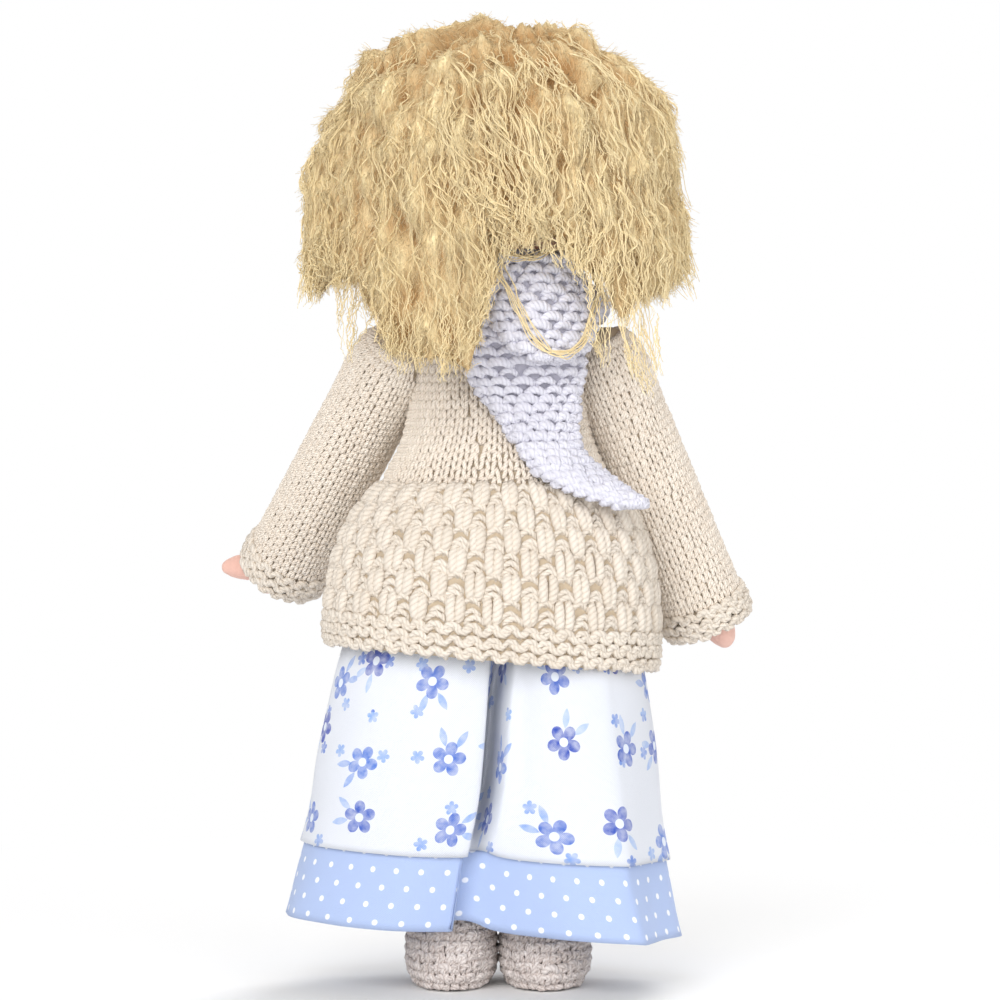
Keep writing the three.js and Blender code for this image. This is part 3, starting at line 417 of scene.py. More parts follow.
# Wisps at the ends of the strands: how far below them their tips hang and how far out
END_WISP_DROP = (1, 6)
END_WISP_OUT = (-4, 0)
END_WISP_FIBRES = 24
LONG_WISP_FIBRES = 14
# Long wisps that stand out: azimuth in degrees, height of the tip, how far out the tip stands
LONG_WISPS = [
    (96, 211, 2), (104, 209, 2.5), (126, 201, 0), (131, 192, 0.5), (150, 187, 0), (163, 184, 0),
    (169, 189, 0), (214, 190, 0), (226, 186, 0), (232, 181, 0.5), (236, 188, 1), (257, 212, 3),
    (264, 217, 3.5), (172, 194, 0.5), (175, 202, 0.5), (178, 211, 0.5), (182, 219, 1), (188, 223, 1),
    (200, 219, 1), (206, 214, 0.5), (210, 208, 0),
]
FUZZ_PARTS = 6
FUZZ_FIBRES = 8600
FUZZ_RADIUS = 0.11
FUZZ_LENGTHS = (1.4, 3.8)
FUZZ_SPREAD = 0.6
FUZZ_LEAST = 0.12
FUZZ_TINTS = (-0.2, 0.3)
# Fuzz grows where the hair faces out by at least this share, and beside the face in front of this depth
FUZZ_FACING = -0.25
FACE_BACK = -8
# Fuzz is combed down and a little out; it starts so far out, down and astray, and bends down and astray
FUZZ_LEAN = 0.5
FUZZ_START = (0.15, 0.8, 0.3)
FUZZ_BEND = (0.3, 0.5)
FUZZ_CURL = 0.6
FUZZ_ROOT = 0.5
FIBRE_TAPER = 0.5

# Face: azimuths are in degrees from its middle
EYE_AZIMUTH = 21
EYE_HEIGHT = 251.0
EYE_OUT = 0.9
BEAD_RADIUS = 2.4
BEAD_DEPTH = 0.72
CHEEK_AZIMUTH = 30
CHEEK_HEIGHT = 239.0
BLUSH_RADIUS = 9.5
BLUSH_MIDDLE = 2.0
BLUSH_STRENGTH = 0.65
SMILE_AZIMUTH = 12
SMILE_HEIGHT = 232.5
SMILE_RISE = 3.4
SMILE_STITCHES = 8
SMILE_GAP = 0.04
NOSE_LINES = [((-2.6, 242.9), (-0.2, 241.9)), ((0.2, 241.9), (2.6, 242.9))]
BROW_MARKS = [(15, 260), (18.5, 261.2), (22, 261.5), (25.5, 260.8)]
MOUTH_THREAD = 0.5
BROW_THREAD = 0.4
THREAD_RISE = 0.45
THREAD_DIVE = 0.9
THREAD_TAPER = 0.45

# Skirt
SKIRT_TOP = 137.7
WHITE_HEM = 42
BLUE_TOP = 47
BLUE_HEM = 19
SKIRT_COLUMNS = 560
WHITE_ROWS = 44
BLUE_ROWS = 12
# Outer and inner face of each cloth's wall, and the height that its length round is measured at
WHITE_WALL = (-0.1, -0.7)
WHITE_MEASURE = 70
BLUE_WALL = (-1.5, -2.1)
BLUE_MEASURE = 30
WAIST_ROWS = [(138, 24.4, 18.4), (140.5, 24.7, 18.7), (143.4, 24.3, 18.3)]
WAIST_WALL = (0, -1.9)
WAIST_GIRTH = 140
WAIST_COLUMNS = 320
WAIST_STEPS = 6
GATHERS = 40
GATHER_DEPTH = 0.012
FLARE_POWER = 0.9
FLARE_LIMIT = 1.05
CRUMPLE = 0.012
# Waves of the crumple: number round the skirt, and turns for each mm up
CRUMPLE_WAVES = [(7, 0.01), (3, -0.017)]
PLEAT_OPEN = 84
PLEAT_AZIMUTH = 87
PLEAT_WIDTH = 13
VALLEY_AZIMUTH = 90
VALLEY_WIDTH = 7
VALLEY_RISE = 3.0
TUCK_AZIMUTH = 88.5
TUCK_WIDTH = 3
TUCK_DEPTH = 0.45
LIP_AZIMUTH = 95.5
LIP_WIDTH = 4
LIP_RISE = 0.12
# Heights that the tuck, the valley and the tilt of the hem fade between
TUCK_FADE = (38, 62)
VALLEY_FADE = (80, 20)
TILT_FADE = (110, 30)
SKIRT_TILT = 0.05
# How far the pleat slants away from its place at the hem: height, and mm to the doll's right
PLEAT_SLANT = [(19, 0), (45, 3.2), (59, 5.6), (83, 7), (104, 7.2), (138, 7.2)]
PLEAT_REACH = 16
DOT_SPACING = 8.4
DOT_RISE = 10.6
DOT_RADIUS = 0.9
DOT_BLUR = 0.1
# The print: spacing and size of its blossoms in mm, how the small ones are shifted, and a blossom's parts
BIG_BLOSSOMS = (23.0, 5.4)
SMALL_BLOSSOMS = (14.0, 2.2)
PRINT_SHIFT = (41.0, 17.0, 0.0)
PETALS = 5
HEART = 0.26
LEAF_START = 0.75
LEAF_LENGTH = 1.15
LEAF_BOW = 0.62
LEAF_TURNS = (0.35, -0.5)
SKIRT_ROWS = [
    (19, 63.4, 39.9, -4.5),
    (40.5, 57.6, 37.6, -2.8),
    (47, 56.2, 36.8, -2.2),
    (72, 52.6, 33.2, 0.2),
    (104, 46.6, 27.8, 3),
    (114, 43.6, 26.2, 2),
    (126, 35.6, 23.2, 1),
    (137.7, 24.4, 18.4, 0),
]
# Hem of the skirt from above, for each angle at the waist: across and back, as shares of the half sizes
SKIRT_HEM = [
    (6, 0.997, 0.11),
    (30, 0.86, 0.49),
    (49, 0.64, 0.75),
    (65, 0.38, 0.86),
    (76, 0.19, 0.81),
    (81, 0.125, 0.77),
    (84.5, 0.155, 0.69),
    (88, 0.14, 0.655),
    (92, 0.06, 0.65),
    (98, -0.03, 0.68),
    (105, -0.19, 0.79),
    (115, -0.4, 0.92),
    (125, -0.63, 0.94),
    (133, -0.785, 0.87),
    (138, -0.83, 0.74),
    (146, -0.88, 0.57),
    (174, -1.0, 0.1),
    (192, -0.93, -0.22),
    (208, -0.9, -0.48),
    (226, -0.64, -0.66),
    (244, -0.43, -0.92),
    (262, -0.13, -0.88),
    (280, 0.17, -1.0),
    (298, 0.43, -0.81),
    (316, 0.7, -0.74),
    (334, 0.86, -0.42),
    (350, 0.99, -0.18),
]

# Scarf
SCARF_RADIUS = 24
SCARF_HALF_WIDTH = 9.2
SCARF_HALF_HEIGHT = 7
SCARF_CENTRE = 209.5
SCARF_SADDLE = 1.5
SCARF_ROW = 3.0
SCARF_YARN = 1.5
SCARF_JITTER = 0.08
SCARF_EDGE = 0.6
SCARF_THICKNESS = 2.0
TAIL_FALL = (178, 208)
TAIL_GAP = 1.2
# How much of the sweater's roundness the tail follows
TAIL_WRAP = 0.55
TAIL_ON_TURN = 1
FLAP_ON_TURN = 4.4
SCARF_TAIL = [
    (208, 8, -18),
    (196, 9, -25.5),
    (187, 7.5, -25),
    (176, -1, -23.5),
    (167, -7, -24),
    (159, -13.5, -31.5),
    (154, -23, -38),
    (149.5, -37, -44.5),
]
SCARF_FLAP = [
    (226, -2, -20),
    (215, 2, -27),
    (203, 0.5, -28.5),
    (197, -5.5, -25.5),
    (193.6, -12.5, -20),
]


# Curves and surfaces

def smooth(keys, values):
    """A smooth curve through the values at rising keys."""
    keys = np.asarray(keys, float)
    values = np.asarray(values, float)
    steps = np.diff(keys)
    slopes = np.gradient(values, keys)

    def at(x):
        i = np.clip(np.searchsorted(keys, x, side="right") - 1, 0, len(steps) - 1)
        t = (x - keys[i]) / steps[i]
        rest = 1 - t
        start = values[i] * (1 + 2 * t) * rest**2 + steps[i] * slopes[i] * t * rest**2
        end = values[i + 1] * t**2 * (3 - 2 * t) - steps[i] * slopes[i + 1] * t**2 * rest
        return start + end

    return at


def unit(vectors):
    return vectors / np.maximum(np.linalg.norm(vectors, axis=-1, keepdims=True), 1e-9)


def ease(low, high, x):
    t = np.clip((x - low) / (high - low), 0, 1)
    return t * t * (3 - 2 * t)


def bell(x, centre, width):
    return np.exp(-(((x - centre) / width) ** 2))


def around(rows, place, steps=None):
    """A surface around rings of (distance, half width, half depth), and its length along the outline.

    place puts a distance and a point of its ring into the frame.
    steps are the lengths between the rings."""
    rows = np.array(rows, float)
    if rows.shape[1] == 2:
        rows = np.column_stack([rows, rows[:, 1]])
    if steps is None:
        steps = np.hypot(np.diff(rows[:, 0]), np.diff(rows[:, 1:3].mean(axis=1)))
    lengths = np.concatenate([[0], np.cumsum(steps)])
    station, wide, deep = (smooth(lengths, column) for column in rows[:, :3].T)

    def surface(u, v):
        return place(station(v), wide(v) * np.cos(TURN * u), deep(v) * np.sin(TURN * u))

    return surface, lengths[-1]


def upright(height, x, y):
    """Places a ring level at its height."""
    return np.stack(np.broadcast_arrays(x, y, height), -1)


def lifted(surface, u, v, out):
    """Points at a height over a surface, and the directions that face out of it."""
    u, v, out = np.broadcast_arrays(u, v, out)
    across = surface(u + STEP_ROUND, v) - surface(u - STEP_ROUND, v)
    along = surface(u, v + STEP_ALONG) - surface(u, v - STEP_ALONG)
    normal = unit(np.cross(across, along))
    return surface(u, v) + normal * out[..., None], normal


# Meshes

class YarnMesh:
    """Yarn and the sheet of painted shade behind it, gathered into one mesh."""

    def __init__(self):
        self.points = []
        self.loops = []
        self.sizes = []
        self.uvs = []
        self.tints = []
        self.slots = []
        self.count = 0

    def gather(self, points, tints):
        self.points.append(points.reshape(-1, 3))
        self.tints.append(np.broadcast_to(tints, points.shape[:-1]).ravel())
        self.count += len(self.points[-1])

    def faces(self, corners, uvs, slot):
        self.loops.append(corners.ravel())
        self.sizes.append(np.full(len(corners), corners.shape[1]))
        self.uvs.append(uvs.reshape(-1, 2))
        self.slots.append(np.full(len(corners), slot))

    def tubes(self, paths, radii, outs, sides=5, tints=None):
        """Yarns with closed ends along paths, an array of (yarn, point, xyz)."""
        yarns, length = paths.shape[:2]
        ahead = np.concatenate([paths[:, 1:], paths[:, -1:]], axis=1)
        behind = np.concatenate([paths[:, :1], paths[:, :-1]], axis=1)
        along = unit(ahead - behind)
        side = unit(np.cross(along, outs))
        up = np.cross(side, along)
        turn = TURN * np.arange(sides) / sides
        rings = side[:, :, None] * np.cos(turn)[:, None] + up[:, :, None] * np.sin(turn)[:, None]
        radii = np.broadcast_to(radii, (yarns, length))
        points = paths[:, :, None] + rings * radii[:, :, None, None]
        first = self.count + np.arange(yarns)[:, None] * length * sides
        tints = chance.random(yarns) if tints is None else tints
        self.gather(points, tints[:, None, None])

        ring = sides * np.arange(length - 1)[:, None]
        spot = np.arange(sides)[None]
        beside = (spot + 1) % sides
        corners = (ring + spot, ring + sides + spot, ring + sides + beside, ring + beside)
        corners = np.stack(corners, -1).reshape(-1, 4)
        travel = np.linalg.norm(ahead - paths, axis=-1)
        distance = np.cumsum(travel, axis=1) - travel
        start = np.repeat(distance[:, :-1], sides, axis=1)
        end = np.repeat(distance[:, 1:], sides, axis=1)
        low = np.tile(np.arange(sides) / sides, length - 1)
        high = low + 1 / sides
        uvs = np.stack([
            np.stack(np.broadcast_arrays(run, share), -1)
            for run, share in ((start, low), (end, low), (end, high), (start, high))
        ], 2)
        self.faces((first[:, :, None] + corners[None]).reshape(-1, 4), uvs, 0)
        near = first + np.arange(sides)[None]
        far = first + (length - 1) * sides + np.arange(sides)[None, ::-1]
        self.faces(np.concatenate([near, far]), np.zeros((2 * yarns, sides, 2)), 0)

    def shell(self, surface, columns, heights, wall, slot=1, girth=None, measured_at=None):
        """A cloth round a surface, with the outer and inner face of its wall.

        girth is its measure around, for the pattern on it, or it is measured at a height."""
        u = np.arange(columns)[None] / columns
        v = np.asarray(heights, float)[:, None]
        rows = len(v)
        outer, inner = (lifted(surface, u, v, out)[0] for out in wall)
        first = self.count
        self.gather(np.stack([outer, inner]), 0.5)
        number = first + np.arange(2 * rows * columns).reshape(2, rows, columns)
        beside = np.roll(number, -1, 2)
        corners = [
            np.stack([number[0, :-1], beside[0, :-1], beside[0, 1:], number[0, 1:]], -1),
            np.stack([number[1, :-1], number[1, 1:], beside[1, 1:], beside[1, :-1]], -1),
            np.stack([number[0, 0], number[1, 0], beside[1, 0], beside[0, 0]], -1),
            np.stack([number[0, -1], beside[0, -1], beside[1, -1], number[1, -1]], -1),
        ]
        corners = np.concatenate([part.reshape(-1, 4) for part in corners])
        spot = (corners - first) % (rows * columns)
        column = spot % columns
        at_seam = column.max(axis=1, keepdims=True) == columns - 1
        column = np.where((column == 0) & at_seam, columns, column)
        lengths = np.linspace(0, girth or columns * STITCH_WIDTH, columns + 1)
        if measured_at is not None:
            ring = surface(np.linspace(0, 1, columns + 1), np.full(columns + 1, measured_at))
            lengths[1:] = np.cumsum(np.linalg.norm(np.diff(ring, axis=0), axis=1))
            lengths *= DOT_SPACING * round(lengths[-1] / DOT_SPACING) / lengths[-1]
        self.faces(corners, np.stack([lengths[column], v.ravel()[spot // columns]], -1), slot)

    def form(self, surface, columns, heights):
        """A closed form round a surface, with a flat face at each end."""
        u = np.arange(columns)[None] / columns
        v = np.asarray(heights, float)[:, None]
        first = self.count
        points = surface(*np.broadcast_arrays(u, v))
        self.gather(points, 0.5)
        number = first + np.arange(points.shape[0] * columns).reshape(-1, columns)
        beside = np.roll(number, -1, 1)
        corners = np.stack([number[:-1], beside[:-1], beside[1:], number[1:]], -1).reshape(-1, 4)
        self.faces(corners, np.zeros((len(corners), 4, 2)), 0)
        ends = np.stack([number[0, ::-1], number[-1]])
        self.faces(ends, np.zeros((2, columns, 2)), 0)

    def build(self, name, *materials):
        mesh = bpy.data.meshes.new(name)
        points = np.concatenate(self.points) * MM
        loops = np.concatenate(self.loops)
        sizes = np.concatenate(self.sizes)
        mesh.vertices.add(len(points))
        mesh.vertices.foreach_set("co", points.ravel())
        mesh.loops.add(len(loops))
        mesh.loops.foreach_set("vertex_index", loops)
        mesh.polygons.add(len(sizes))
        mesh.polygons.foreach_set("loop_start", np.cumsum(sizes) - sizes)
        mesh.polygons.foreach_set("material_index", np.concatenate(self.slots))
        mesh.update(calc_edges=True)
        mesh.uv_layers.new(name="yarn").data.foreach_set("uv", np.concatenate(self.uvs).ravel())
        tints = mesh.attributes.new("tint", "FLOAT", "POINT")
        tints.data.foreach_set("value", np.concatenate(self.tints))
        mesh.shade_smooth()
        for material in materials:
            mesh.materials.append(material)
        piece = bpy.data.objects.new(name, mesh)
        bpy.context.collection.objects.link(piece)
        return piece


def read(items, name, width=3):
    """A property of the mesh's points or faces, one row for each."""
    values = np.empty(len(items) * width)
    items.foreach_get(name, values)
    return values.reshape(-1, width)


def finish_piece(piece, body, slot, *nodes):
    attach(piece, body)
    if nodes:
        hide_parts(*nodes)
    return piece


# Materials

def colour(red, green, blue):
    """A colour from its values on a screen, 0 to 255."""
    shares = [value / 255 for value in (red, green, blue)]
    return (*[s / 12.92 if s <= 0.04045 else ((s + 0.055) / 1.055) ** 2.4 for s in shares], 1)


def put(tree, kind, inputs=None, **settings):
    """A node with its settings; an input takes a value or the socket that feeds it."""
    new = tree.nodes.new(kind)
    for key, value in settings.items():
        setattr(new, key, value)
    for key, value in (inputs or {}).items():
        if isinstance(value, bpy.types.NodeSocket):
            tree.links.new(value, new.inputs[key])
        else:
            new.inputs[key].default_value = value
    return new


def maths(tree, operation, *values):
    """The result of a node that works on numbers."""
    return put(tree, "ShaderNodeMath", dict(enumerate(values)), operation=operation).outputs[0]


def vector_maths(tree, operation, *values):
    """The result of a node that works on vectors, a vector or a length."""
    new = put(tree, "ShaderNodeVectorMath", dict(enumerate(values)), operation=operation)
    return new.outputs["Value" if operation in ("LENGTH", "DISTANCE") else "Vector"]


def weighed(tree, *parts):
    """The sum of values, each times its weight."""
    total = None
    for value, weight in parts:
        part = maths(tree, "MULTIPLY", value, weight)
        total = part if total is None else maths(tree, "ADD", total, part)
    return total


def lessened(tree, value, amount):
    """A value less an amount, kept between 0 and 1."""
    new = put(tree, "ShaderNodeMath", {0: value, 1: amount}, operation="SUBTRACT", use_clamp=True)
    return new.outputs[0]


def ramp(tree, value, low, high, start=0.0, end=1.0, **settings):
    """A value that runs from start to end while another runs from low to high."""
    inputs = {0: value, 1: low, 2: high, 3: start, 4: end}
    return put(tree, "ShaderNodeMapRange", inputs, **settings).outputs[0]


def clouds(tree, place, scale, detail, distortion=0.0):
    """Soft noise on a place."""
    inputs = {"Vector": place, "Scale": scale, "Detail": detail, "Distortion": distortion}
    return put(tree, "ShaderNodeTexNoise", inputs).outputs[0]


def places(tree, kind="Object"):
    """The place of each point of the piece, or of its pattern."""
    return put(tree, "ShaderNodeTexCoord").outputs[kind]


def mapped(tree, place, **settings):
    """A place moved, turned or scaled."""
    inputs = {key.title(): value for key, value in settings.items()}
    return put(tree, "ShaderNodeMapping", {0: place, **inputs}).outputs[0]


def separated(tree, vector):
    return put(tree, "ShaderNodeSeparateXYZ", {0: vector}).outputs


def spun(tree, vector, angle):
    """A vector turned about the upright axis of its pattern."""
    inputs = {"Vector": vector, "Angle": angle}
    return put(tree, "ShaderNodeVectorRotate", inputs, rotation_type="Z_AXIS").outputs[0]


def blend_colours(tree, share, first, second):
    mix = put(tree, "ShaderNodeMix", {"Factor": share}, data_type="RGBA")
    for index, value in ((6, first), (7, second)):
        if isinstance(value, bpy.types.NodeSocket):
            tree.links.new(value, mix.inputs[index])
        else:
            mix.inputs[index].default_value = value
    return mix.outputs[2]


def paint(tree, shader, share, dark, light):
    """The shader's colour, from dark to light by a share."""
    tree.links.new(blend_colours(tree, share, dark, light), shader.inputs["Base Color"])


def new_group(name, inputs, outputs):
    """A node group, with what it is given and what it puts out."""
    group = bpy.data.node_groups.new(name, "ShaderNodeTree")
    for side, sockets in (("INPUT", inputs), ("OUTPUT", outputs)):
        for label, kind in sockets.items():
            group.interface.new_socket(label, in_out=side, socket_type=kind)
    return group, group.nodes.new("NodeGroupInput").outputs, group.nodes.new("NodeGroupOutput").inputs


VECTOR = "NodeSocketVector"
FLOAT = "NodeSocketFloat"
COLOUR = "NodeSocketColor"


def make_spun_yarn():
    """Plies that wind round a yarn: u runs along it in mm and v once round it."""
    group, given, result = new_group(
        "spun_yarn",
        {"UV": VECTOR, "Place": VECTOR, "Tint": FLOAT, "Pitch": FLOAT, "Dark": COLOUR, "Light": COLOUR},
        {"Color": COLOUR, "Height": FLOAT},
    )
    along, around_it, _ = separated(group, given["UV"])
    wound = maths(group, "ADD", maths(group, "DIVIDE", along, given["Pitch"]), around_it)
    ply = maths(group, "PINGPONG", maths(group, "MULTIPLY", wound, PLIES), 0.5)
    bulge = maths(group, "POWER", maths(group, "MULTIPLY", ply, 2.0), 0.5)
    fibres = clouds(group, given["Place"], FIBRES_IN_YARN, 3.0)
    patches = clouds(group, given["Place"], PATCHES_IN_YARN, 2.0)
    height = maths(group, "ADD", bulge, maths(group, "MULTIPLY", fibres, 0.7))
    # Painted shade: the yarn is darker in the grooves between its plies, where the bulge is low; fibres,
    # tint and patches vary its own tone
    share = weighed(group, (bulge, 0.4), (fibres, 0.45), (given["Tint"], 0.25), (patches, 0.3))
    share = lessened(group, share, 0.28)
    group.links.new(blend_colours(group, share, given["Dark"], given["Light"]), result["Color"])
    group.links.new(height, result["Height"])
    return group


def make_plain_weave():
    """Over and under threads of a woven cotton, on a place in mm."""
    group, given, result = new_group(
        "plain_weave",
        {"Place": VECTOR, "Threads": FLOAT, "Slant": FLOAT},
        {"Height": FLOAT, "Shade": FLOAT},
    )
    x, y, _ = separated(group, given["Place"])
    leaning = maths(group, "ADD", x, maths(group, "MULTIPLY", y, given["Slant"]))
    across = maths(group, "MULTIPLY", leaning, given["Threads"])
    along = maths(group, "MULTIPLY", y, given["Threads"])
    warp = maths(group, "SINE", maths(group, "MULTIPLY", across, TURN))
    weft = maths(group, "SINE", maths(group, "MULTIPLY", along, TURN))
    woven = maths(group, "MULTIPLY", warp, weft)
    twilled = put(group, "ShaderNodeMix", {"Factor": given["Slant"], 2: woven, 3: warp}).outputs[0]
    slubs = clouds(group, given["Place"], 1.6, 4.0)
    height = maths(group, "ADD", maths(group, "MULTIPLY", twilled, 0.5), slubs)
    shade = maths(group, "MULTIPLY", maths(group, "ADD", twilled, 1.0), 0.5)
    group.links.new(height, result["Height"])
    group.links.new(shade, result["Shade"])
    return group


SPUN_YARN = make_spun_yarn()
PLAIN_WEAVE = make_plain_weave()


def new_material(name, **sockets):
    """A material with a Principled shader, and the sockets that are the same all over."""
    material = bpy.data.materials.new(name)
    material.use_nodes = True
    shader = material.node_tree.nodes["Principled BSDF"]
    for key, value in sockets.items():
        shader.inputs[key.replace("_", " ").title().replace("Ior", "IOR")].default_value = value
    return material, material.node_tree, shader


def raise_surface(tree, shader, height, distance):
    inputs = {"Height": height, "Distance": distance * MM, "Strength": 1.0}
    tree.links.new(put(tree, "ShaderNodeBump", inputs).outputs[0], shader.inputs["Normal"])


def yarn_material(name, dark, light, pitch=3.0, sheen=0.35, depth=0.25):
    material, tree, shader = new_material(name, roughness=0.92, sheen_weight=sheen, sheen_roughness=0.6,
                                          sheen_tint=light, specular_ior_level=0.15)
    # The tint is each yarn's own tone; on the hair's fuzz it also carries the hair's painted light and
    # shade
    tint = put(tree, "ShaderNodeAttribute", attribute_name="tint").outputs["Fac"]
    inputs = {"UV": places(tree, "UV"), "Place": places(tree), "Tint": tint,
              "Pitch": pitch, "Dark": dark, "Light": light}
    yarn = put(tree, "ShaderNodeGroup", inputs, node_tree=SPUN_YARN)
    tree.links.new(yarn.outputs["Color"], shader.inputs["Base Color"])
    raise_surface(tree, shader, yarn.outputs["Height"], depth)
    return material


def cloth_material(name, threads, slant, depth, coordinates="UV", scale=1.0):
    """A woven cotton without its colour; gives the tree, the shader, the place in mm and the weave."""
    material, tree, shader = new_material(name, roughness=0.88, sheen_weight=0.2, sheen_roughness=0.5,
                                          specular_ior_level=0.2)
    # On Object coordinates the threads run across and up, so they lie flat on the front and back
    turn = math.radians(90) if coordinates == "Object" else 0
    place = mapped(tree, places(tree, coordinates), rotation=(turn, 0, 0), scale=(scale, scale, scale))
    inputs = {"Place": place, "Threads": threads, "Slant": slant}
    weave = put(tree, "ShaderNodeGroup", inputs, node_tree=PLAIN_WEAVE)
    raise_surface(tree, shader, weave.outputs["Height"], depth)
    return material, tree, shader, place, weave.outputs["Shade"]


def plain_cloth(name, dark, light, threads=2.0, depth=0.1):
    material, tree, shader, place, shade = cloth_material(name, threads, 0.0, depth, "Object", 1 / MM)
    patches = clouds(tree, place, 0.12, 3.0)
    share = lessened(tree, weighed(tree, (shade, 0.35), (patches, 0.9)), 0.15)
    paint(tree, shader, share, dark, light)
    return material


CREAM_YARN = yarn_material("cream_yarn", colour(226, 210, 192), colour(248, 240, 229))
CREAM_THICK = yarn_material("cream_thick_yarn", colour(214, 200, 183), colour(238, 230, 219),
                            pitch=5.0, depth=0.3)
# Darker copy of the cream yarn for the sheet behind the stitches: painted shade in the gaps between them
CREAM_SHADE_SHEET = yarn_material("cream_shade_sheet", colour(208, 186, 158), colour(234, 217, 192))
LILAC_YARN = yarn_material("lilac_white_yarn", colour(204, 203, 215), colour(234, 233, 242), pitch=4.0)
# Darker copy of the scarf yarn for the sheet behind its stitches: painted shade in the gaps
LILAC_SHADE_SHEET = yarn_material("lilac_shade_sheet", colour(186, 184, 199), colour(208, 206, 219))
TAUPE_YARN = yarn_material("taupe_yarn", colour(176, 158, 150), colour(254, 247, 243), pitch=4.0)
# Darker copy of the boot yarn for the sheet behind its stitches: painted shade in the gaps
TAUPE_SHADE_SHEET = yarn_material("taupe_shade_sheet", colour(146, 132, 124), colour(184, 170, 162))
HAIR_FUZZ = yarn_material("blond_fuzz", colour(230, 191, 127), colour(255, 242, 204),
                          sheen=0.4, depth=0.05)
HAIR_THREAD = yarn_material("blond_thread", colour(244, 217, 162), colour(255, 242, 204),
                            pitch=2.0, sheen=0.3, depth=0.02)
SKIN_TONES = (colour(226, 176, 160), colour(244, 206, 192))
SKIN_COTTON = plain_cloth("skin_cotton", *SKIN_TONES, threads=2.2)
STUFFING = plain_cloth("fibre_filling", colour(226, 222, 212), colour(248, 246, 240),
                       threads=0.6, depth=0.4)


# Knitting

# Right leg of a knitted stitch: across in stitches, up in rows, out in mm
STITCH_LEG = np.array([
    (0.10, -0.30, -0.55),
    (0.17, -0.02, 0.10),
    (0.26, 0.34, 0.42),
    (0.33, 0.72, 0.30),
    (0.36, 1.12, -0.55),
])
# A purl bump: the yarn rises over the row below and dives again
PURL_ARC = np.array([
    (-0.54, -0.50, -0.7),
    (-0.40, 0.02, 0.35),
    (-0.17, 0.34, 0.75),
    (0.17, 0.34, 0.75),
    (0.40, 0.02, 0.35),
    (0.54, -0.50, -0.7),
])
# The arc that turns under a ridge, half a stitch aside, and the leg of a crochet stitch
PURL_UNDER = PURL_ARC * np.array([1, -1, 1]) + np.array([0.5, 0.1, -0.15])
CROCHET_LEG = STITCH_LEG * np.array([0.8, 1, 1.4]) + np.array([0, -0.3, 0])
# Right leg of a long waffle stitch, and the short bar between two of them
WAFFLE_LEG = np.array([
    (0.05, -0.20, -0.9),
    (0.10, 0.10, 0.4),
    (0.12, 0.42, 0.7),
    (0.12, 0.80, 0.6),
    (0.10, 1.16, -0.8),
])
WAFFLE_BAR = np.array([
    (0.2, -0.3, -0.8),
    (0.34, 0.0, 0.1),
    (0.5, 0.12, 0.4),
    (0.66, 0.0, 0.1),
    (0.8, -0.3, -0.8),
])
LEG_TAPER = np.array([0.7, 0.98, 1.05, 0.98, 0.65])
ARC_TAPER = np.array([0.6, 0.95, 1.05, 1.05, 0.95, 0.6])


def lay_stitches(yarn, surface, shape, taper, columns, rows, radius,
                 jitter=STITCH_JITTER, keep=None, stagger=0.0):
    """Lay a stitch shape at every column and row of a round surface.

    rows is a list of (start, height) in mm along the surface; keep chooses from the finished paths."""
    starts, heights = np.array(rows).T[:, :, None]
    grid = (len(rows), columns)
    column = np.arange(columns)[None] + stagger * (np.arange(len(rows)) % 2)[:, None]
    column = column + chance.normal(0, jitter, grid)
    rise = chance.normal(0, jitter, grid)
    size = chance.normal(1, SIZE_JITTERS * jitter, grid)
    u = (column[..., None] + shape[:, 0] * size[..., None]) / columns
    v = starts[..., None] + heights[..., None] * (shape[:, 1] + rise[..., None])
    out = np.broadcast_to(shape[:, 2], u.shape) + chance.normal(0, OUT_JITTERS * jitter, grid)[..., None]
    paths, normals = lifted(surface, *(part.reshape(-1, len(shape)) for part in (u, v, out)))
    radii = radius * taper[None] * size.reshape(-1, 1)
    if keep is not None:
        kept = keep(paths)
        paths, normals, radii = paths[kept], normals[kept], radii[kept]
    yarn.tubes(paths, radii, normals)


def mirrored(shape):
    return shape * np.array([-1, 1, 1])


def even_rows(start, end, height):
    count = max(round((end - start) / height), 1)
    step = (end - start) / count
    return [(start + i * step, step) for i in range(count)]


def lay_stockinette(yarn, surface, columns, start, end, keep=None):
    rows = even_rows(start, end, STITCH_HEIGHT)
    for shape in (STITCH_LEG, mirrored(STITCH_LEG)):
        lay_stitches(yarn, surface, shape, LEG_TAPER, columns, rows, STITCH_RADIUS, keep=keep)


def lay_ridges(yarn, surface, columns, start, end, height):
    """Garter ridges: each a row of arcs over and a row of arcs under, half a stitch apart."""
    rows = even_rows(start, end, height)
    for shape in (PURL_ARC, PURL_UNDER):
        lay_stitches(yarn, surface, shape, ARC_TAPER, columns, rows, RIDGE_YARN, RIDGE_JITTER)


def lay_bumps(yarn, surface, columns, start, end):
    """Close rows of thick bumps, each row half a stitch beside the last."""
    rows = even_rows(start, end, SCARF_ROW)
    lay_stitches(yarn, surface, PURL_ARC, ARC_TAPER, columns, rows, SCARF_YARN, SCARF_JITTER, stagger=0.5)


def lay_shade_sheet(yarn, surface, ground, start, end):
    """The sheet behind the stitches, darker as painted shade in their gaps, from one length along the
    surface to another.
    """
    columns, rows, *wall = ground
    yarn.shell(surface, columns, np.linspace(start, end, rows), wall)


def lean(height):
    """How far the clothes lean to the doll's left at a height."""
    return LEAN_SHIFT * np.maximum(LEAN_TOP - height, 0) / LEAN_DROP


def sweater_place(height, x, y):
    drop = np.maximum(SHOULDER_HEIGHT - height, 0)
    back = SWEATER_BACK_SHIFT * drop / (SHOULDER_HEIGHT - HEM_HEIGHT)
    return upright(height, lean(height) + x, back + y)


def band_place(height, x, y):
    point = sweater_place(height, x, y)
    part = (BAND_TOP - height) / (BAND_TOP - HEM_HEIGHT)
    point[..., 2] += HEM_TILT * part * point[..., 0]
    return point


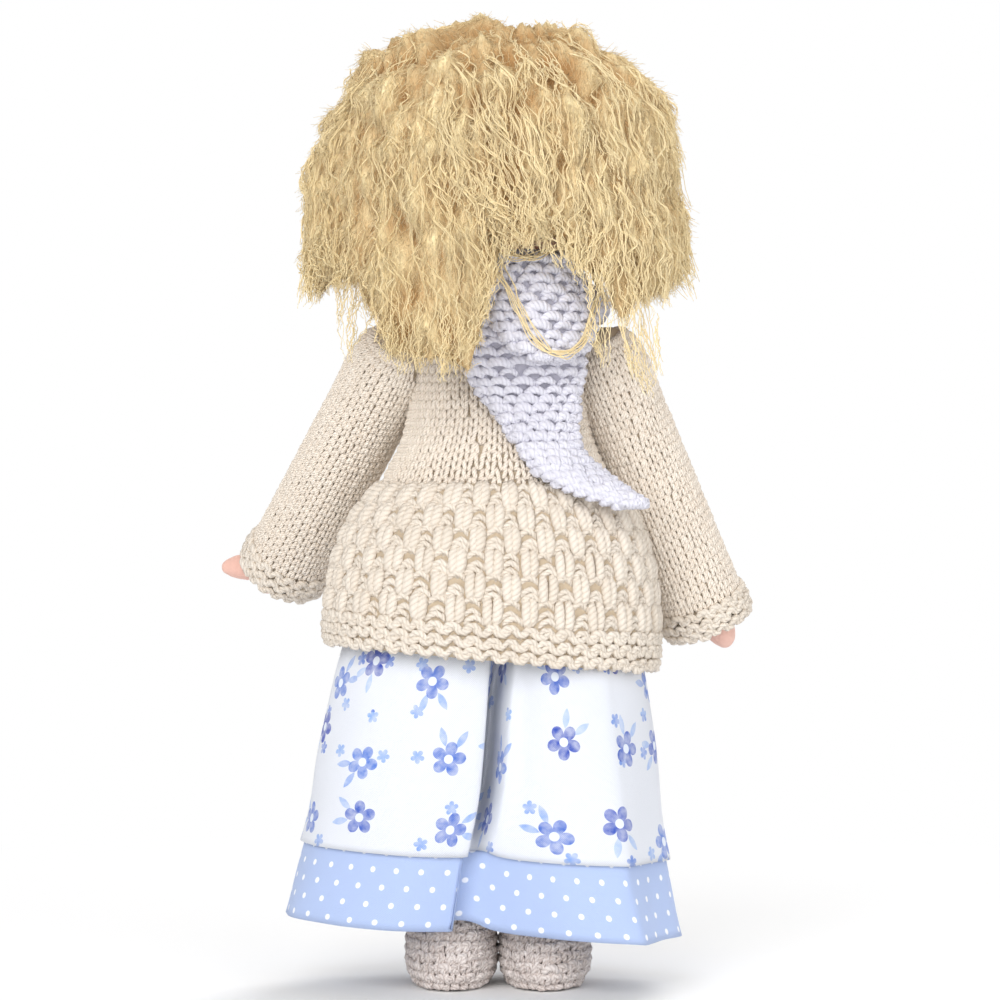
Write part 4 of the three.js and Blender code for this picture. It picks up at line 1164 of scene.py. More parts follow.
def arm_place(label):
    """Places a distance down the arm and a point of its ring, with the arm spread and swung forward."""
    side, spread, swing = SIDE[label], SPREAD[label], SWING[label]
    along = np.array([side * math.sin(spread), 0, -math.cos(spread)])
    across = np.array([side * math.cos(spread), 0, math.sin(spread)])

    def place(distance, x, y):
        distance, x, y = np.broadcast_arrays(distance, x, y)
        point = np.array([side * ARM_X, 0, 0]) + distance[..., None] * along + x[..., None] * across
        depth = point[..., 1] + side * y
        rise = point[..., 2]
        swung = np.cos(swing) * depth + np.sin(swing) * rise
        height = SHOULDER_HEIGHT - np.sin(swing) * depth + np.cos(swing) * rise
        return np.stack([point[..., 0], swung, height], -1)

    return place


def make_sweater_body():
    surface, length = around(BODY_ROWS, sweater_place)
    yarn = YarnMesh()
    first, last = BODY_EDGES
    lay_stockinette(yarn, surface, BODY_STITCHES, first, length - last)
    lay_shade_sheet(yarn, surface, BODY_GROUND, 0, length)
    piece = yarn.build("sweater_knit", CREAM_YARN, CREAM_SHADE_SHEET)
    return finish_piece(piece, "torso", "sweater", "sweater_body")


def make_sweater_band():
    surface, length = around(BAND_ROWS, band_place)
    yarn = YarnMesh()
    ridges = RIDGES * RIDGE_HEIGHT
    lay_ridges(yarn, surface, BAND_STITCHES, RIDGE_START, RIDGE_START + ridges, RIDGE_HEIGHT)
    first, last = WAFFLE_EDGES
    rows = even_rows(ridges + first, length - last, WAFFLE_HEIGHT)
    columns = round(WAFFLE_GIRTH / WAFFLE_WIDTH)
    shapes = [(WAFFLE_LEG, WAFFLE_RADIUS), (mirrored(WAFFLE_LEG), WAFFLE_RADIUS)]
    shapes += [(WAFFLE_BAR + np.array([0, lift, 0]), BAR_RADIUS) for lift in BAR_LIFTS]
    for shape, radius in shapes:
        lay_stitches(yarn, surface, shape, LEG_TAPER, columns, rows, radius, WAFFLE_JITTER, stagger=0.5)
    lay_shade_sheet(yarn, surface, BAND_GROUND, 0, length)
    piece = yarn.build("sweater_waffle_band", CREAM_THICK, CREAM_SHADE_SHEET)
    return finish_piece(piece, "torso", "sweater_trim", "sweater_hem_band")


def make_neckband():
    surface, length = around(NECK_ROWS, sweater_place)
    yarn = YarnMesh()
    rows = even_rows(NECK_START, length, NECK_ROW_HEIGHT)
    lay_stitches(yarn, surface, PURL_ARC, ARC_TAPER, NECK_STITCHES, rows, NECK_YARN)
    lay_shade_sheet(yarn, surface, NECK_GROUND, 0, length)
    piece = yarn.build("sweater_neck_knit", CREAM_THICK, CREAM_SHADE_SHEET)
    return finish_piece(piece, "torso", "sweater_trim", "sweater_neckband")


def make_sleeve(label):
    surface, length = around(SLEEVE_ROWS, arm_place(label))
    yarn = YarnMesh()

    def outside_body(paths):
        return SIDE[label] * paths[:, 2, 0] > ARMHOLE_X

    end = length - SLEEVE_CAP
    lay_stockinette(yarn, surface, SLEEVE_STITCHES, SLEEVE_START, end, keep=outside_body)
    lay_shade_sheet(yarn, surface, SLEEVE_GROUND, 0, length)
    piece = yarn.build(f"sleeve_knit_{label}", CREAM_YARN, CREAM_SHADE_SHEET)
    return finish_piece(piece, f"arm_{label}", "sweater", f"sweater_sleeve_{label}")


def make_cuff(label):
    surface, length = around(CUFF_ROWS, arm_place(label))
    yarn = YarnMesh()
    lay_ridges(yarn, surface, CUFF_STITCHES, CUFF_START, length, CUFF_RIDGE)
    lay_shade_sheet(yarn, surface, CUFF_GROUND, CUFF_START, length)
    piece = yarn.build(f"cuff_knit_{label}", CREAM_THICK, CREAM_SHADE_SHEET)
    return finish_piece(piece, f"arm_{label}", "sweater_trim", f"sweater_cuff_{label}")


def leg_place(label, rows):
    """Places the rings of a leg or boot, whose middles in depth are the rows' last values."""
    heights, _, _, middles = np.transpose(rows)
    middle = smooth(heights, middles)

    def place(height, x, y):
        return upright(height, SIDE[label] * LEG_X + x, middle(height) + y)

    return place


def make_boot(label):
    surface, length = around(BOOT_ROWS, leg_place(label, BOOT_ROWS))
    yarn = YarnMesh()
    first, last = CROCHET_EDGES
    rows = even_rows(first, length - last, CROCHET_HEIGHT)
    for shape, taper, radius in (
        (PURL_ARC, ARC_TAPER, CROCHET_BUMP),
        (CROCHET_LEG, LEG_TAPER, CROCHET_POST),
        (mirrored(CROCHET_LEG), LEG_TAPER, CROCHET_POST),
    ):
        lay_stitches(yarn, surface, shape, taper, BOOT_STITCHES, rows, radius, CROCHET_JITTER, stagger=0.5)
    lay_shade_sheet(yarn, surface, BOOT_GROUND, 0, length)
    for points in yarn.points:
        points[:, 2] = np.maximum(points[:, 2], SOLE_HEIGHT)
    piece = yarn.build(f"boot_crochet_{label}", TAUPE_YARN, TAUPE_SHADE_SHEET)
    return finish_piece(piece, f"leg_{label}", "boot", f"boot_{label}")


make_sweater_body()
make_sweater_band()
make_neckband()
for label in SIDE:
    make_sleeve(label)
    make_cuff(label)
    make_boot(label)


# Scarf

def sweater_back(x, height):
    """How far back the sweater reaches at a place seen from behind."""
    rows = np.array(BAND_ROWS[:-1] + BODY_ROWS[1:])
    wide = np.interp(height, rows[:, 0], rows[:, 1])
    deep = np.interp(height, rows[:, 0], rows[:, 2])
    across = np.clip((x - lean(height)) / wide, -1, 1)
    return sweater_place(height, 0, deep * np.sqrt(1 - across**2))[..., 1]


def on_turn(x, extra):
    """How far back the scarf's turn reaches, with something of a thickness on it."""
    reach = SCARF_RADIUS + SCARF_HALF_WIDTH + extra
    return np.sqrt(np.maximum(reach**2 - x**2, 0))


def tail_back(x, height):
    fall = ease(*TAIL_FALL, height)
    return (1 - fall) * (sweater_back(TAIL_WRAP * x, height) + TAIL_GAP) + fall * on_turn(x, TAIL_ON_TURN)


def flap_back(x, height):
    return on_turn(x, FLAP_ON_TURN) + 0 * height


def make_scarf_turn():
    girth = TURN * SCARF_RADIUS

    def surface(u, v):
        angle = v / SCARF_RADIUS
        saddle = SCARF_SADDLE * np.cos(2 * angle)
        reach = SCARF_RADIUS + SCARF_HALF_WIDTH * np.cos(TURN * u)
        rise = SCARF_CENTRE + saddle - (SCARF_HALF_HEIGHT - saddle) * np.sin(TURN * u)
        return np.stack([reach * np.cos(angle), reach * np.sin(angle), rise], -1)

    yarn = YarnMesh()
    lay_bumps(yarn, surface, TURN_STITCHES, 0, girth)
    lay_shade_sheet(yarn, surface, TURN_GROUND, 0, girth)
    piece = yarn.build("scarf_turn_knit", LILAC_YARN, LILAC_SHADE_SHEET)
    return finish_piece(piece, "torso", "scarf", "scarf_turn")


def make_scarf_end(name, outline, back, node):
    """A scarf end that hangs at the depth that back gives; the outline is (height, left, right)."""
    rows = np.array(outline[::-1], float)
    middles = rows[:, 1:].mean(axis=1)
    middle = smooth(rows[:, 0], middles)
    half_widths = (rows[:, 1] - rows[:, 2]) / 2
    half_depths = np.full(len(rows), SCARF_THICKNESS)
    steps = np.hypot(np.diff(rows[:, 0]), np.diff(middles))

    def place(height, x, y):
        height, x, y = np.broadcast_arrays(height, x, y)
        across = middle(height) + x
        return np.stack([across, back(across, height) + SCARF_THICKNESS + y, height], -1)

    surface, length = around(np.column_stack([rows[:, 0], half_widths, half_depths]), place, steps)
    yarn = YarnMesh()
    lay_bumps(yarn, surface, END_STITCHES, SCARF_EDGE, length - SCARF_EDGE)
    lay_shade_sheet(yarn, surface, END_GROUND, 0, length)
    piece = yarn.build(name, LILAC_YARN, LILAC_SHADE_SHEET)
    return finish_piece(piece, "torso", "scarf", node)


make_scarf_turn()
make_scarf_end("scarf_tail_knit", SCARF_TAIL, tail_back, "scarf_tail")
make_scarf_end("scarf_flap_knit", SCARF_FLAP, flap_back, "scarf_flap")


# Skirt

def make_blossoms():
    """Scattered five-petal blossoms with two leaves, on a place in mm."""
    group, given, result = new_group(
        "scattered_blossoms",
        {"Place": VECTOR, "Spacing": FLOAT, "Size": FLOAT},
        {"Petals": FLOAT, "Leaves": FLOAT, "Heart": FLOAT, "Choice": FLOAT},
    )

    def in_sizes(vector):
        """How far across and up, counted in sizes of a blossom."""
        across, up, _ = separated(group, vector)
        return maths(group, "DIVIDE", across, given["Size"]), maths(group, "DIVIDE", up, given["Size"])

    inputs = {"Vector": given["Place"], "Randomness": 0.55}
    inputs["Scale"] = maths(group, "DIVIDE", 1.0, given["Spacing"])
    spot = put(group, "ShaderNodeTexVoronoi", inputs, feature="F1", voronoi_dimensions="2D").outputs
    offset = vector_maths(group, "SUBTRACT", given["Place"], spot["Position"])
    turn, choice, _ = put(group, "ShaderNodeSeparateColor", {0: spot["Color"]}).outputs
    turned = spun(group, offset, maths(group, "MULTIPLY", turn, TURN))
    x, y = in_sizes(turned)
    reach = maths(group, "SQRT", weighed(group, (x, x), (y, y)))
    angle = maths(group, "MULTIPLY", maths(group, "ARCTAN2", y, x), PETALS / 2)
    lobes = maths(group, "ABSOLUTE", maths(group, "COSINE", angle))
    edge = maths(group, "ADD", maths(group, "MULTIPLY", maths(group, "POWER", lobes, 0.6), 0.6), 0.4)
    # Each leaf is where its half width, a bow over the leaf's length, is wider than the place
    leaves = None
    for leaf_turn in LEAF_TURNS:
        along, beside = in_sizes(spun(group, turned, leaf_turn))
        along = maths(group, "SUBTRACT", along, LEAF_START)
        bow = maths(group, "MULTIPLY", along, maths(group, "SUBTRACT", LEAF_LENGTH, along))
        bow = maths(group, "MULTIPLY", bow, LEAF_BOW)
        leaf = maths(group, "LESS_THAN", maths(group, "ABSOLUTE", beside), bow)
        leaves = leaf if leaves is None else maths(group, "MAXIMUM", leaves, leaf)
    group.links.new(maths(group, "LESS_THAN", reach, edge), result["Petals"])
    group.links.new(leaves, result["Leaves"])
    group.links.new(maths(group, "LESS_THAN", reach, HEART), result["Heart"])
    group.links.new(choice, result["Choice"])
    return group


def make_printed_cotton():
    material, tree, shader, place, shade = cloth_material("printed_cotton", 1.7, 1.0, 0.12)
    blossoms = make_blossoms()

    def scatter(spot, spacing, size):
        inputs = {"Place": spot, "Spacing": spacing, "Size": size}
        return put(tree, "ShaderNodeGroup", inputs, node_tree=blossoms).outputs

    big = scatter(place, *BIG_BLOSSOMS)
    small = scatter(mapped(tree, place, location=PRINT_SHIFT), *SMALL_BLOSSOMS)
    wash = ramp(tree, clouds(tree, place, 0.35, 4.0), 0.32, 0.68, 0.45)
    free = maths(tree, "SUBTRACT", 1.0, maths(tree, "MAXIMUM", big["Petals"], big["Leaves"]))
    sprinkled = maths(tree, "MULTIPLY", small["Petals"], free)
    kept = maths(tree, "GREATER_THAN", small["Choice"], 0.45)
    inked = blend_colours(tree, shade, colour(222, 226, 236), colour(238, 241, 248))
    for motif, pale, deep in (
        (maths(tree, "MULTIPLY", sprinkled, kept), colour(150, 184, 238), colour(84, 120, 212)),
        (big["Leaves"], colour(126, 160, 228), colour(190, 212, 244)),
        (big["Petals"], colour(100, 138, 220), colour(30, 52, 172)),
    ):
        ink = blend_colours(tree, big["Choice"], pale, deep)
        inked = blend_colours(tree, maths(tree, "MULTIPLY", motif, wash), inked, ink)
    paint(tree, shader, big["Heart"], inked, colour(234, 241, 253))
    return material


def make_dotted_cotton():
    material, tree, shader, place, shade = cloth_material("dotted_cotton", 1.9, 0.0, 0.1)
    # Squares that stand on a corner, each with a dot in its middle, and the place from that middle in mm
    corner = math.radians(45)
    diagonal = math.sqrt(2)
    scale = (diagonal / DOT_SPACING, diagonal / DOT_RISE, 1)
    cell = vector_maths(tree, "FRACTION", mapped(tree, place, rotation=(0, 0, corner), scale=scale))
    offset = spun(tree, vector_maths(tree, "SUBTRACT", cell, (0.5, 0.5, 0)), -corner)
    flat = vector_maths(tree, "MULTIPLY", offset, (DOT_SPACING / diagonal, DOT_RISE / diagonal, 0))
    dot = ramp(tree, vector_maths(tree, "LENGTH", flat), DOT_RADIUS + DOT_BLUR, DOT_RADIUS - DOT_BLUR)
    base = blend_colours(tree, shade, colour(168, 187, 229), colour(186, 203, 237))
    paint(tree, shader, dot, base, colour(246, 248, 254))
    return material


def hem_outline():
    """The hem from above, across and back, as smooth closed curves of the angle at the waist."""
    rows = np.array(SKIRT_HEM, float)
    wrapped = np.concatenate([rows[-3:] - [360, 0, 0], rows, rows[:3] + [360, 0, 0]])
    return [smooth(wrapped[:, 0], column) for column in wrapped[:, 1:].T]


def skirt_surface():
    across, back = hem_outline()
    rows = np.array(SKIRT_ROWS, float)
    wide, deep, middle = (smooth(rows[:, 0], column) for column in rows[:, 1:].T)
    slant = smooth(*np.transpose(PLEAT_SLANT))

    def surface(u, v):
        angle = u % 1 * 360
        grow = np.clip((SKIRT_TOP - v) / (SKIRT_TOP - BLUE_HEM), 0, FLARE_LIMIT) ** FLARE_POWER
        pleat = bell(angle, PLEAT_AZIMUTH, PLEAT_WIDTH)
        grow = grow + pleat * np.maximum(ease(SKIRT_TOP, PLEAT_OPEN, v) - grow, 0)
        x = (1 - grow) * np.cos(TURN * u) + grow * across(angle)
        # The tuck is deep above the boots, and shallow at the hem, where a heel swings back to it
        tuck = TUCK_DEPTH * bell(angle, TUCK_AZIMUTH, TUCK_WIDTH)
        tuck = tuck - LIP_RISE * bell(angle, LIP_AZIMUTH, LIP_WIDTH)
        y = (1 - grow) * np.sin(TURN * u) + grow * (back(angle) - tuck * ease(*TUCK_FADE, v))
        crumple = CRUMPLE
        for number, drift in CRUMPLE_WAVES:
            crumple = crumple * np.sin(TURN * (number * u + drift * v))
        x = x * (1 + crumple * grow)
        y = y * (1 + crumple * grow)
        valley = VALLEY_RISE * grow * bell(angle, VALLEY_AZIMUTH, VALLEY_WIDTH)
        x = lean(v) + wide(v) * x - slant(v) * bell(angle, TUCK_AZIMUTH, PLEAT_REACH)
        height = v + valley * ease(*VALLEY_FADE, v) + SKIRT_TILT * x * ease(*TILT_FADE, v)
        return upright(height, x, middle(v) + deep(v) * y)

    return surface


PRINTED_COTTON = make_printed_cotton()
DOTTED_COTTON = make_dotted_cotton()
WHITE_COTTON = plain_cloth("white_cotton", colour(232, 234, 240), colour(250, 251, 254), threads=1.8)


def make_skirt():
    surface = skirt_surface()
    white = YarnMesh()
    heights = np.linspace(WHITE_HEM, SKIRT_TOP, WHITE_ROWS)
    white.shell(surface, SKIRT_COLUMNS, heights, WHITE_WALL, 0, measured_at=WHITE_MEASURE)
    skirt = white.build("skirt_cloth", PRINTED_COTTON)
    finish_piece(skirt, "torso", "white_cotton", "skirt_body")
    blue = YarnMesh()
    heights = np.linspace(BLUE_HEM, BLUE_TOP, BLUE_ROWS)
    blue.shell(surface, SKIRT_COLUMNS, heights, BLUE_WALL, 0, measured_at=BLUE_MEASURE)
    band = blue.build("skirt_dotted_band", DOTTED_COTTON)
    finish_piece(band, "torso", "blue_cotton", "skirt_hem_band")
    waist, length = around(WAIST_ROWS, upright)

    def gathered(u, v):
        return waist(u, v) * (1 + GATHER_DEPTH * np.sin(TURN * GATHERS * u))[..., None] ** [1, 1, 0]

    gathers = YarnMesh()
    gathers.shell(gathered, WAIST_COLUMNS, np.linspace(0, length, WAIST_STEPS), WAIST_WALL, 0, WAIST_GIRTH)
    waistband = gathers.build("skirt_gathered_waist", WHITE_COTTON)
    finish_piece(waistband, "torso", "white_cotton", "skirt_waistband")


make_skirt()


# Stuffed skins

def formed(name, surface, length, columns, steps):
    """A closed form round a surface that ends in small rings."""
    shape = YarnMesh()
    shape.form(surface, columns, np.linspace(0, length, steps))
    piece = shape.build(name)
    bpy.ops.object.select_all(action="DESELECT")
    bpy.context.view_layer.objects.active = piece
    piece.select_set(True)
    return piece


def apply_modifiers(piece):
    bpy.context.view_layer.objects.active = piece
    for modifier in list(piece.modifiers):
        bpy.ops.object.modifier_apply(modifier=modifier.name)


def outer_skin(piece, voxel):
    """One even closed skin over all that the piece holds."""
    remesh = piece.modifiers.new("even_faces", "REMESH")
    remesh.mode = "VOXEL"
    remesh.voxel_size = voxel * MM
    apply_modifiers(piece)


def stuff(piece, pressure, reach):
    """Swell a sewn form with its filling, each point by at most reach."""
    mesh = piece.data
    start = read(mesh.vertices, "co")
    cloth = piece.modifiers.new("filling", "CLOTH")
    cloth.settings.use_pressure = True
    cloth.settings.uniform_pressure_force = pressure
    cloth.settings.effector_weights.gravity = 0
    cloth.settings.tension_stiffness = CLOTH_STIFFNESS
    cloth.settings.compression_stiffness = CLOTH_STIFFNESS
    for step in range(CLOTH_STEPS):
        bpy.context.scene.frame_set(step + 1)
    swollen = piece.evaluated_get(bpy.context.evaluated_depsgraph_get()).data
    move = read(swollen.vertices, "co") - start
    piece.modifiers.remove(cloth)
    bpy.context.scene.frame_set(1)
    size = np.linalg.norm(move, axis=1, keepdims=True)
    end = start + move * np.minimum(1, reach * MM / np.maximum(size, 1e-9))
    mesh.vertices.foreach_set("co", end.ravel())
    mesh.update()
    rounding = piece.modifiers.new("rounding", "SUBSURF")
    rounding.levels = rounding.render_levels = 1
    apply_modifiers(piece)
    mesh.shade_smooth()


def sew(piece, cotton, voxel, pressure, reach, fill):
    """Make a form into one skin of a cotton, stuffed with its filling."""
    outer_skin(piece, voxel)
    stuff(piece, pressure, reach)
    piece.data.materials.append(cotton)


def hand_shift(distance):
    return HAND_SHIFT * ease(WRIST, ARM_LENGTH, distance)


def make_arm(label):
    put_on = arm_place(label)
    start, end, turn = THUMB_START[label], THUMB_LENGTH[label], THUMB_TURN[label]
    thumb_rows = [
        (0, TIP_RADIUS),
        (0.4, 1.8),
        (2, THUMB_RADIUS),
        (end - 2.4, THUMB_RADIUS),
        (end - 0.5, 1.4),
        (end, TIP_RADIUS),
    ]

    def place(distance, x, y):
        return put_on(distance, x + hand_shift(distance), y)

    def thumb_place(distance, x, y):
        along = start + distance * math.cos(turn) + x * math.sin(turn)
        across = hand_shift(start) - distance * math.sin(turn) + x * math.cos(turn)
        return put_on(along, across, y)

    arm = formed(f"arm_cloth_{label}", *around(ARM_ROWS, place), *LIMB_GRID)
    formed("thumb", *around(thumb_rows, thumb_place), *THUMB_GRID)
    arm.select_set(True)
    bpy.context.view_layer.objects.active = arm
    bpy.ops.object.join()
    sew(arm, SKIN_COTTON, *ARM_FILLING)
    return finish_piece(arm, f"arm_{label}", "skin", f"arm_{label}_skin")


def make_leg(label):
    leg = formed(f"leg_cloth_{label}", *around(LEG_ROWS, leg_place(label, LEG_ROWS)), *LIMB_GRID)
    sew(leg, SKIN_COTTON, *LEG_FILLING)
    return finish_piece(leg, f"leg_{label}", "skin", f"leg_{label}_skin")


def make_torso():
    torso = formed("torso_cloth", *around(TORSO_ROWS, upright), *TORSO_GRID)
    sew(torso, SKIN_COTTON, *TORSO_FILLING)
    return finish_piece(torso, "torso", "skin", "torso_skin")


for label in SIDE:
    make_arm(label)
    make_leg(label)
make_torso()


# Head and face

def head_point(azimuth, height, out=0.0):
    """A point on the head; azimuth 0 is the middle of the face and grows to the doll's left."""
    rise = (height - HEAD_CENTRE) / HEAD_HALF_HEIGHT
    reach = (HEAD_RADIUS + out) * np.sqrt(np.maximum(1 - rise**2, 0))
    return upright(height, reach * np.sin(azimuth), -reach * np.cos(azimuth))


def make_face_cotton():
    """Skin cotton with a soft blush on the cheeks."""
    material, tree, shader, place, shade = cloth_material("face_cotton", 2.2, 0.0, 0.06, "Object", 1 / MM)
    share = weighed(tree, (shade, 0.2), (clouds(tree, place, 0.12, 3.0), 0.8))
    skin = blend_colours(tree, share, *SKIN_TONES)
    blush = None
    for side in SIDE.values():
        x, y, z = head_point(side * math.radians(CHEEK_AZIMUTH), CHEEK_HEIGHT).tolist()
        # The cloth's place is turned, so height runs down its second axis
        distance = vector_maths(tree, "DISTANCE", place, (x, -z, y))
        spot = ramp(tree, distance, BLUSH_RADIUS, BLUSH_MIDDLE, 0.0, BLUSH_STRENGTH,
                    interpolation_type="SMOOTHSTEP")
        blush = spot if blush is None else maths(tree, "MAXIMUM", blush, spot)
    grain = maths(tree, "MULTIPLY", blush, maths(tree, "ADD", maths(tree, "MULTIPLY", shade, 0.2), 0.7))
    paint(tree, shader, grain, skin, colour(222, 122, 116))
    return material


def make_head():
    neck = math.asin((NECK_RADIUS + NECK_GAP) / HEAD_RADIUS)
    angles = np.linspace(neck, math.pi - CROWN_OPEN, HEAD_RINGS)
    rows = np.column_stack([HEAD_CENTRE - HEAD_HALF_HEIGHT * np.cos(angles), HEAD_RADIUS * np.sin(angles)])
    head = formed("head_cloth", *around(rows, upright), *HEAD_GRID)
    sew(head, make_face_cotton(), *HEAD_FILLING)
    return finish_piece(head, "head", "skin", "head_skin")


def lay_threads(yarn, lines, radius, points=7):
    """Stitches of thread on the face, each from one (azimuth in degrees, height) to another."""
    lines = np.array(lines, float)
    share = np.linspace(0, 1, points)
    spots = lines[:, None, 0] * (1 - share)[:, None] + lines[:, None, 1] * share[:, None]
    dive = THREAD_RISE - THREAD_DIVE * np.abs(2 * share - 1) ** 4
    paths = head_point(np.radians(spots[..., 0]), spots[..., 1], dive)
    taper = radius * (1 - THREAD_TAPER * np.abs(2 * share - 1) ** 3)
    yarn.tubes(paths, taper, unit(paths - np.array([0, 0, HEAD_CENTRE])), sides=6)


def make_face_stitches():
    turns = np.linspace(-SMILE_AZIMUTH, SMILE_AZIMUTH, SMILE_STITCHES + 1)
    marks = np.column_stack([turns, SMILE_HEIGHT + SMILE_RISE * (turns / SMILE_AZIMUTH) ** 2])
    smile = [(mark, after * (1 - SMILE_GAP) + mark * SMILE_GAP) for mark, after in zip(marks, marks[1:])]
    brows = []
    for side in SIDE.values():
        marks = [(side * turn, height) for turn, height in BROW_MARKS]
        brows.append(list(zip(marks, marks[1:])))
    for name, groups, radius, thread, dark, light in (
        ("smile", [smile], MOUTH_THREAD, "rose_thread", colour(150, 62, 58), colour(196, 96, 90)),
        ("nose", [NOSE_LINES], MOUTH_THREAD, "blush_thread", colour(196, 124, 108), colour(226, 158, 142)),
        ("brow", brows, BROW_THREAD, "brown_thread", colour(96, 62, 40), colour(140, 98, 66)),
    ):
        yarn = YarnMesh()
        for lines in groups:
            lay_threads(yarn, lines, radius)
        piece = yarn.build(f"{name}_stitches", yarn_material(thread, dark, light, pitch=2.0))
        finish_piece(piece, "head", "thread")


def make_bead_brown():
    material, tree, shader = new_material("brown_bead", roughness=0.12, coat_weight=0.6)
    paint(tree, shader, clouds(tree, places(tree), 700.0, 2.0), colour(30, 17, 10), colour(74, 44, 26))
    return material


BEAD_BROWN = make_bead_brown()


def make_eye(label):
    """A bead, flatter than a ball, sewn to the face."""
    turn = SIDE[label] * math.radians(EYE_AZIMUTH)
    bpy.ops.object.select_all(action="DESELECT")
    bpy.ops.mesh.primitive_uv_sphere_add(segments=28, ring_count=16, radius=BEAD_RADIUS * MM)
    bead = bpy.context.object
    bead.name = f"bead_eye_{label}"
    bpy.ops.transform.resize(value=(1, BEAD_DEPTH, 1))
    bead.rotation_euler = (0, 0, turn)
    bead.location = head_point(turn, EYE_HEIGHT, EYE_OUT) * MM
    bpy.ops.object.transform_apply(location=True, rotation=True, scale=True)
    bpy.ops.object.shade_smooth()
    bead.data.materials.append(BEAD_BROWN)
    return finish_piece(bead, "head", "eye", f"eye_{label}")


make_head()
make_face_stitches()
for label in SIDE:
    make_eye(label)


# Hair

def make_brushed_blond():
    """Brushed yarn under the loose fibres, with painted light on its clumps and painted shade, brown, in
    its hollows.
    """
    material, tree, shader = new_material("blond_mass", roughness=0.95, specular_ior_level=0.1,
                                          sheen_weight=0.6, sheen_roughness=0.6,
                                          sheen_tint=colour(252, 234, 184))
    place = places(tree)
    strands = clouds(tree, mapped(tree, place, scale=(1100.0, 1100.0, 420.0)), 1.0, 5.0, 1.6)
    patches = clouds(tree, place, 60.0, 2.0)
    # The tint attribute holds painted light on the hair's ridges and clumps and painted shade in its
    # hollows
    painted_relief_shade = put(tree, "ShaderNodeAttribute", attribute_name="tint").outputs["Fac"]
    share = weighed(tree, (strands, 0.5), (painted_relief_shade, 1.0), (patches, 0.4))
    paint(tree, shader, lessened(tree, share, 0.42), colour(196, 152, 102), colour(252, 232, 184))
    raise_surface(tree, shader, strands, 1.0)
    return material


BRUSHED_BLOND = make_brushed_blond()


def hair_reach(azimuth):
    """How far the hair reaches from the head's axis; azimuths are as on the head."""
    forward = np.cos(azimuth) / np.where(np.cos(azimuth) > 0, HAIR_FRONT, HAIR_BACK)
    return 1 / np.hypot(np.sin(azimuth) / HAIR_HALF_WIDTH, forward)


def hair_tip(azimuth):
    """Height of the lowest hair at an azimuth."""
    azimuth = azimuth % TURN
    from_face = np.minimum(azimuth, TURN - azimuth)
    side = FRONT_TIP + (SIDE_TIP - FRONT_TIP) * ease(FRINGE_AZIMUTH, SIDE_AZIMUTH, from_face)
    back_tip = np.where(azimuth < math.pi, LEFT_TIP, RIGHT_TIP)
    back_azimuth = (SIDE_AZIMUTH + math.pi) / 2
    back = SIDE_TIP + (back_tip - SIDE_TIP) * ease(SIDE_AZIMUTH, back_azimuth, from_face)
    x = hair_reach(azimuth) * np.sin(azimuth)
    short = ease(NAPE_EDGE_X - NAPE_BLEND, NAPE_EDGE_X + NAPE_BLEND, x) * (azimuth > math.pi)
    return np.where(from_face < SIDE_AZIMUTH, side, back + (NAPE_TIP - back) * short)


def trim(azimuth):
    """Height that the strands are cut to at an azimuth."""
    return np.interp(np.degrees(azimuth % TURN), *np.transpose(TRIM_LINE))


def noise_at(spots, octaves):
    return np.array([noise.fractal(Vector(spot), 0.9, 2.0, octaves) for spot in spots])


def clumps(spots):
    """How far the lumps of the hair stand out, as a share of their most; at the top they are broader."""
    flat = spots.reshape(-1, 3)
    broad = ease(*BROAD_FADE, flat[:, 2]) * noise_at(flat / BROAD_SIZE, 1)
    return (noise_at(flat / CLUMP_SIZE, 2) + BROAD_SHARE * broad).reshape(spots.shape[:-1])


def joined_hair():
    """The nodes of the hair as one even closed mesh."""
    copies = []
    for node in HAIR_NODES:
        copy = bpy.data.objects.new("hair_mass", bpy.data.objects[node].data.copy())
        copy.data.materials.clear()
        bpy.context.collection.objects.link(copy)
        copies.append(copy)
    bpy.ops.object.select_all(action="DESELECT")
    for copy in copies:
        copy.select_set(True)
    bpy.context.view_layer.objects.active = copies[0]
    bpy.ops.object.join()
    bpy.ops.object.mode_set(mode="EDIT")
    bpy.ops.mesh.select_all(action="SELECT")
    bpy.ops.mesh.remove_doubles(threshold=0.01 * MM)
    bpy.ops.object.mode_set(mode="OBJECT")
    swell = copies[0].modifiers.new("close_the_gaps", "DISPLACE")
    swell.strength = HAIR_SWELL * MM
    swell.mid_level = 0
    outer_skin(copies[0], HAIR_VOXEL)
    return copies[0]


def narrowed(points):
    """Points of the hair as it is brushed: narrower than its solids, most of all at the top."""
    heights, left, right = np.transpose(HAIR_SHARES)
    x, y, height = np.moveaxis(points, -1, 0)
    share = np.where(x > 0, np.interp(height, heights, left), np.interp(height, heights, right))
    return np.stack([x * share, y, height], -1)


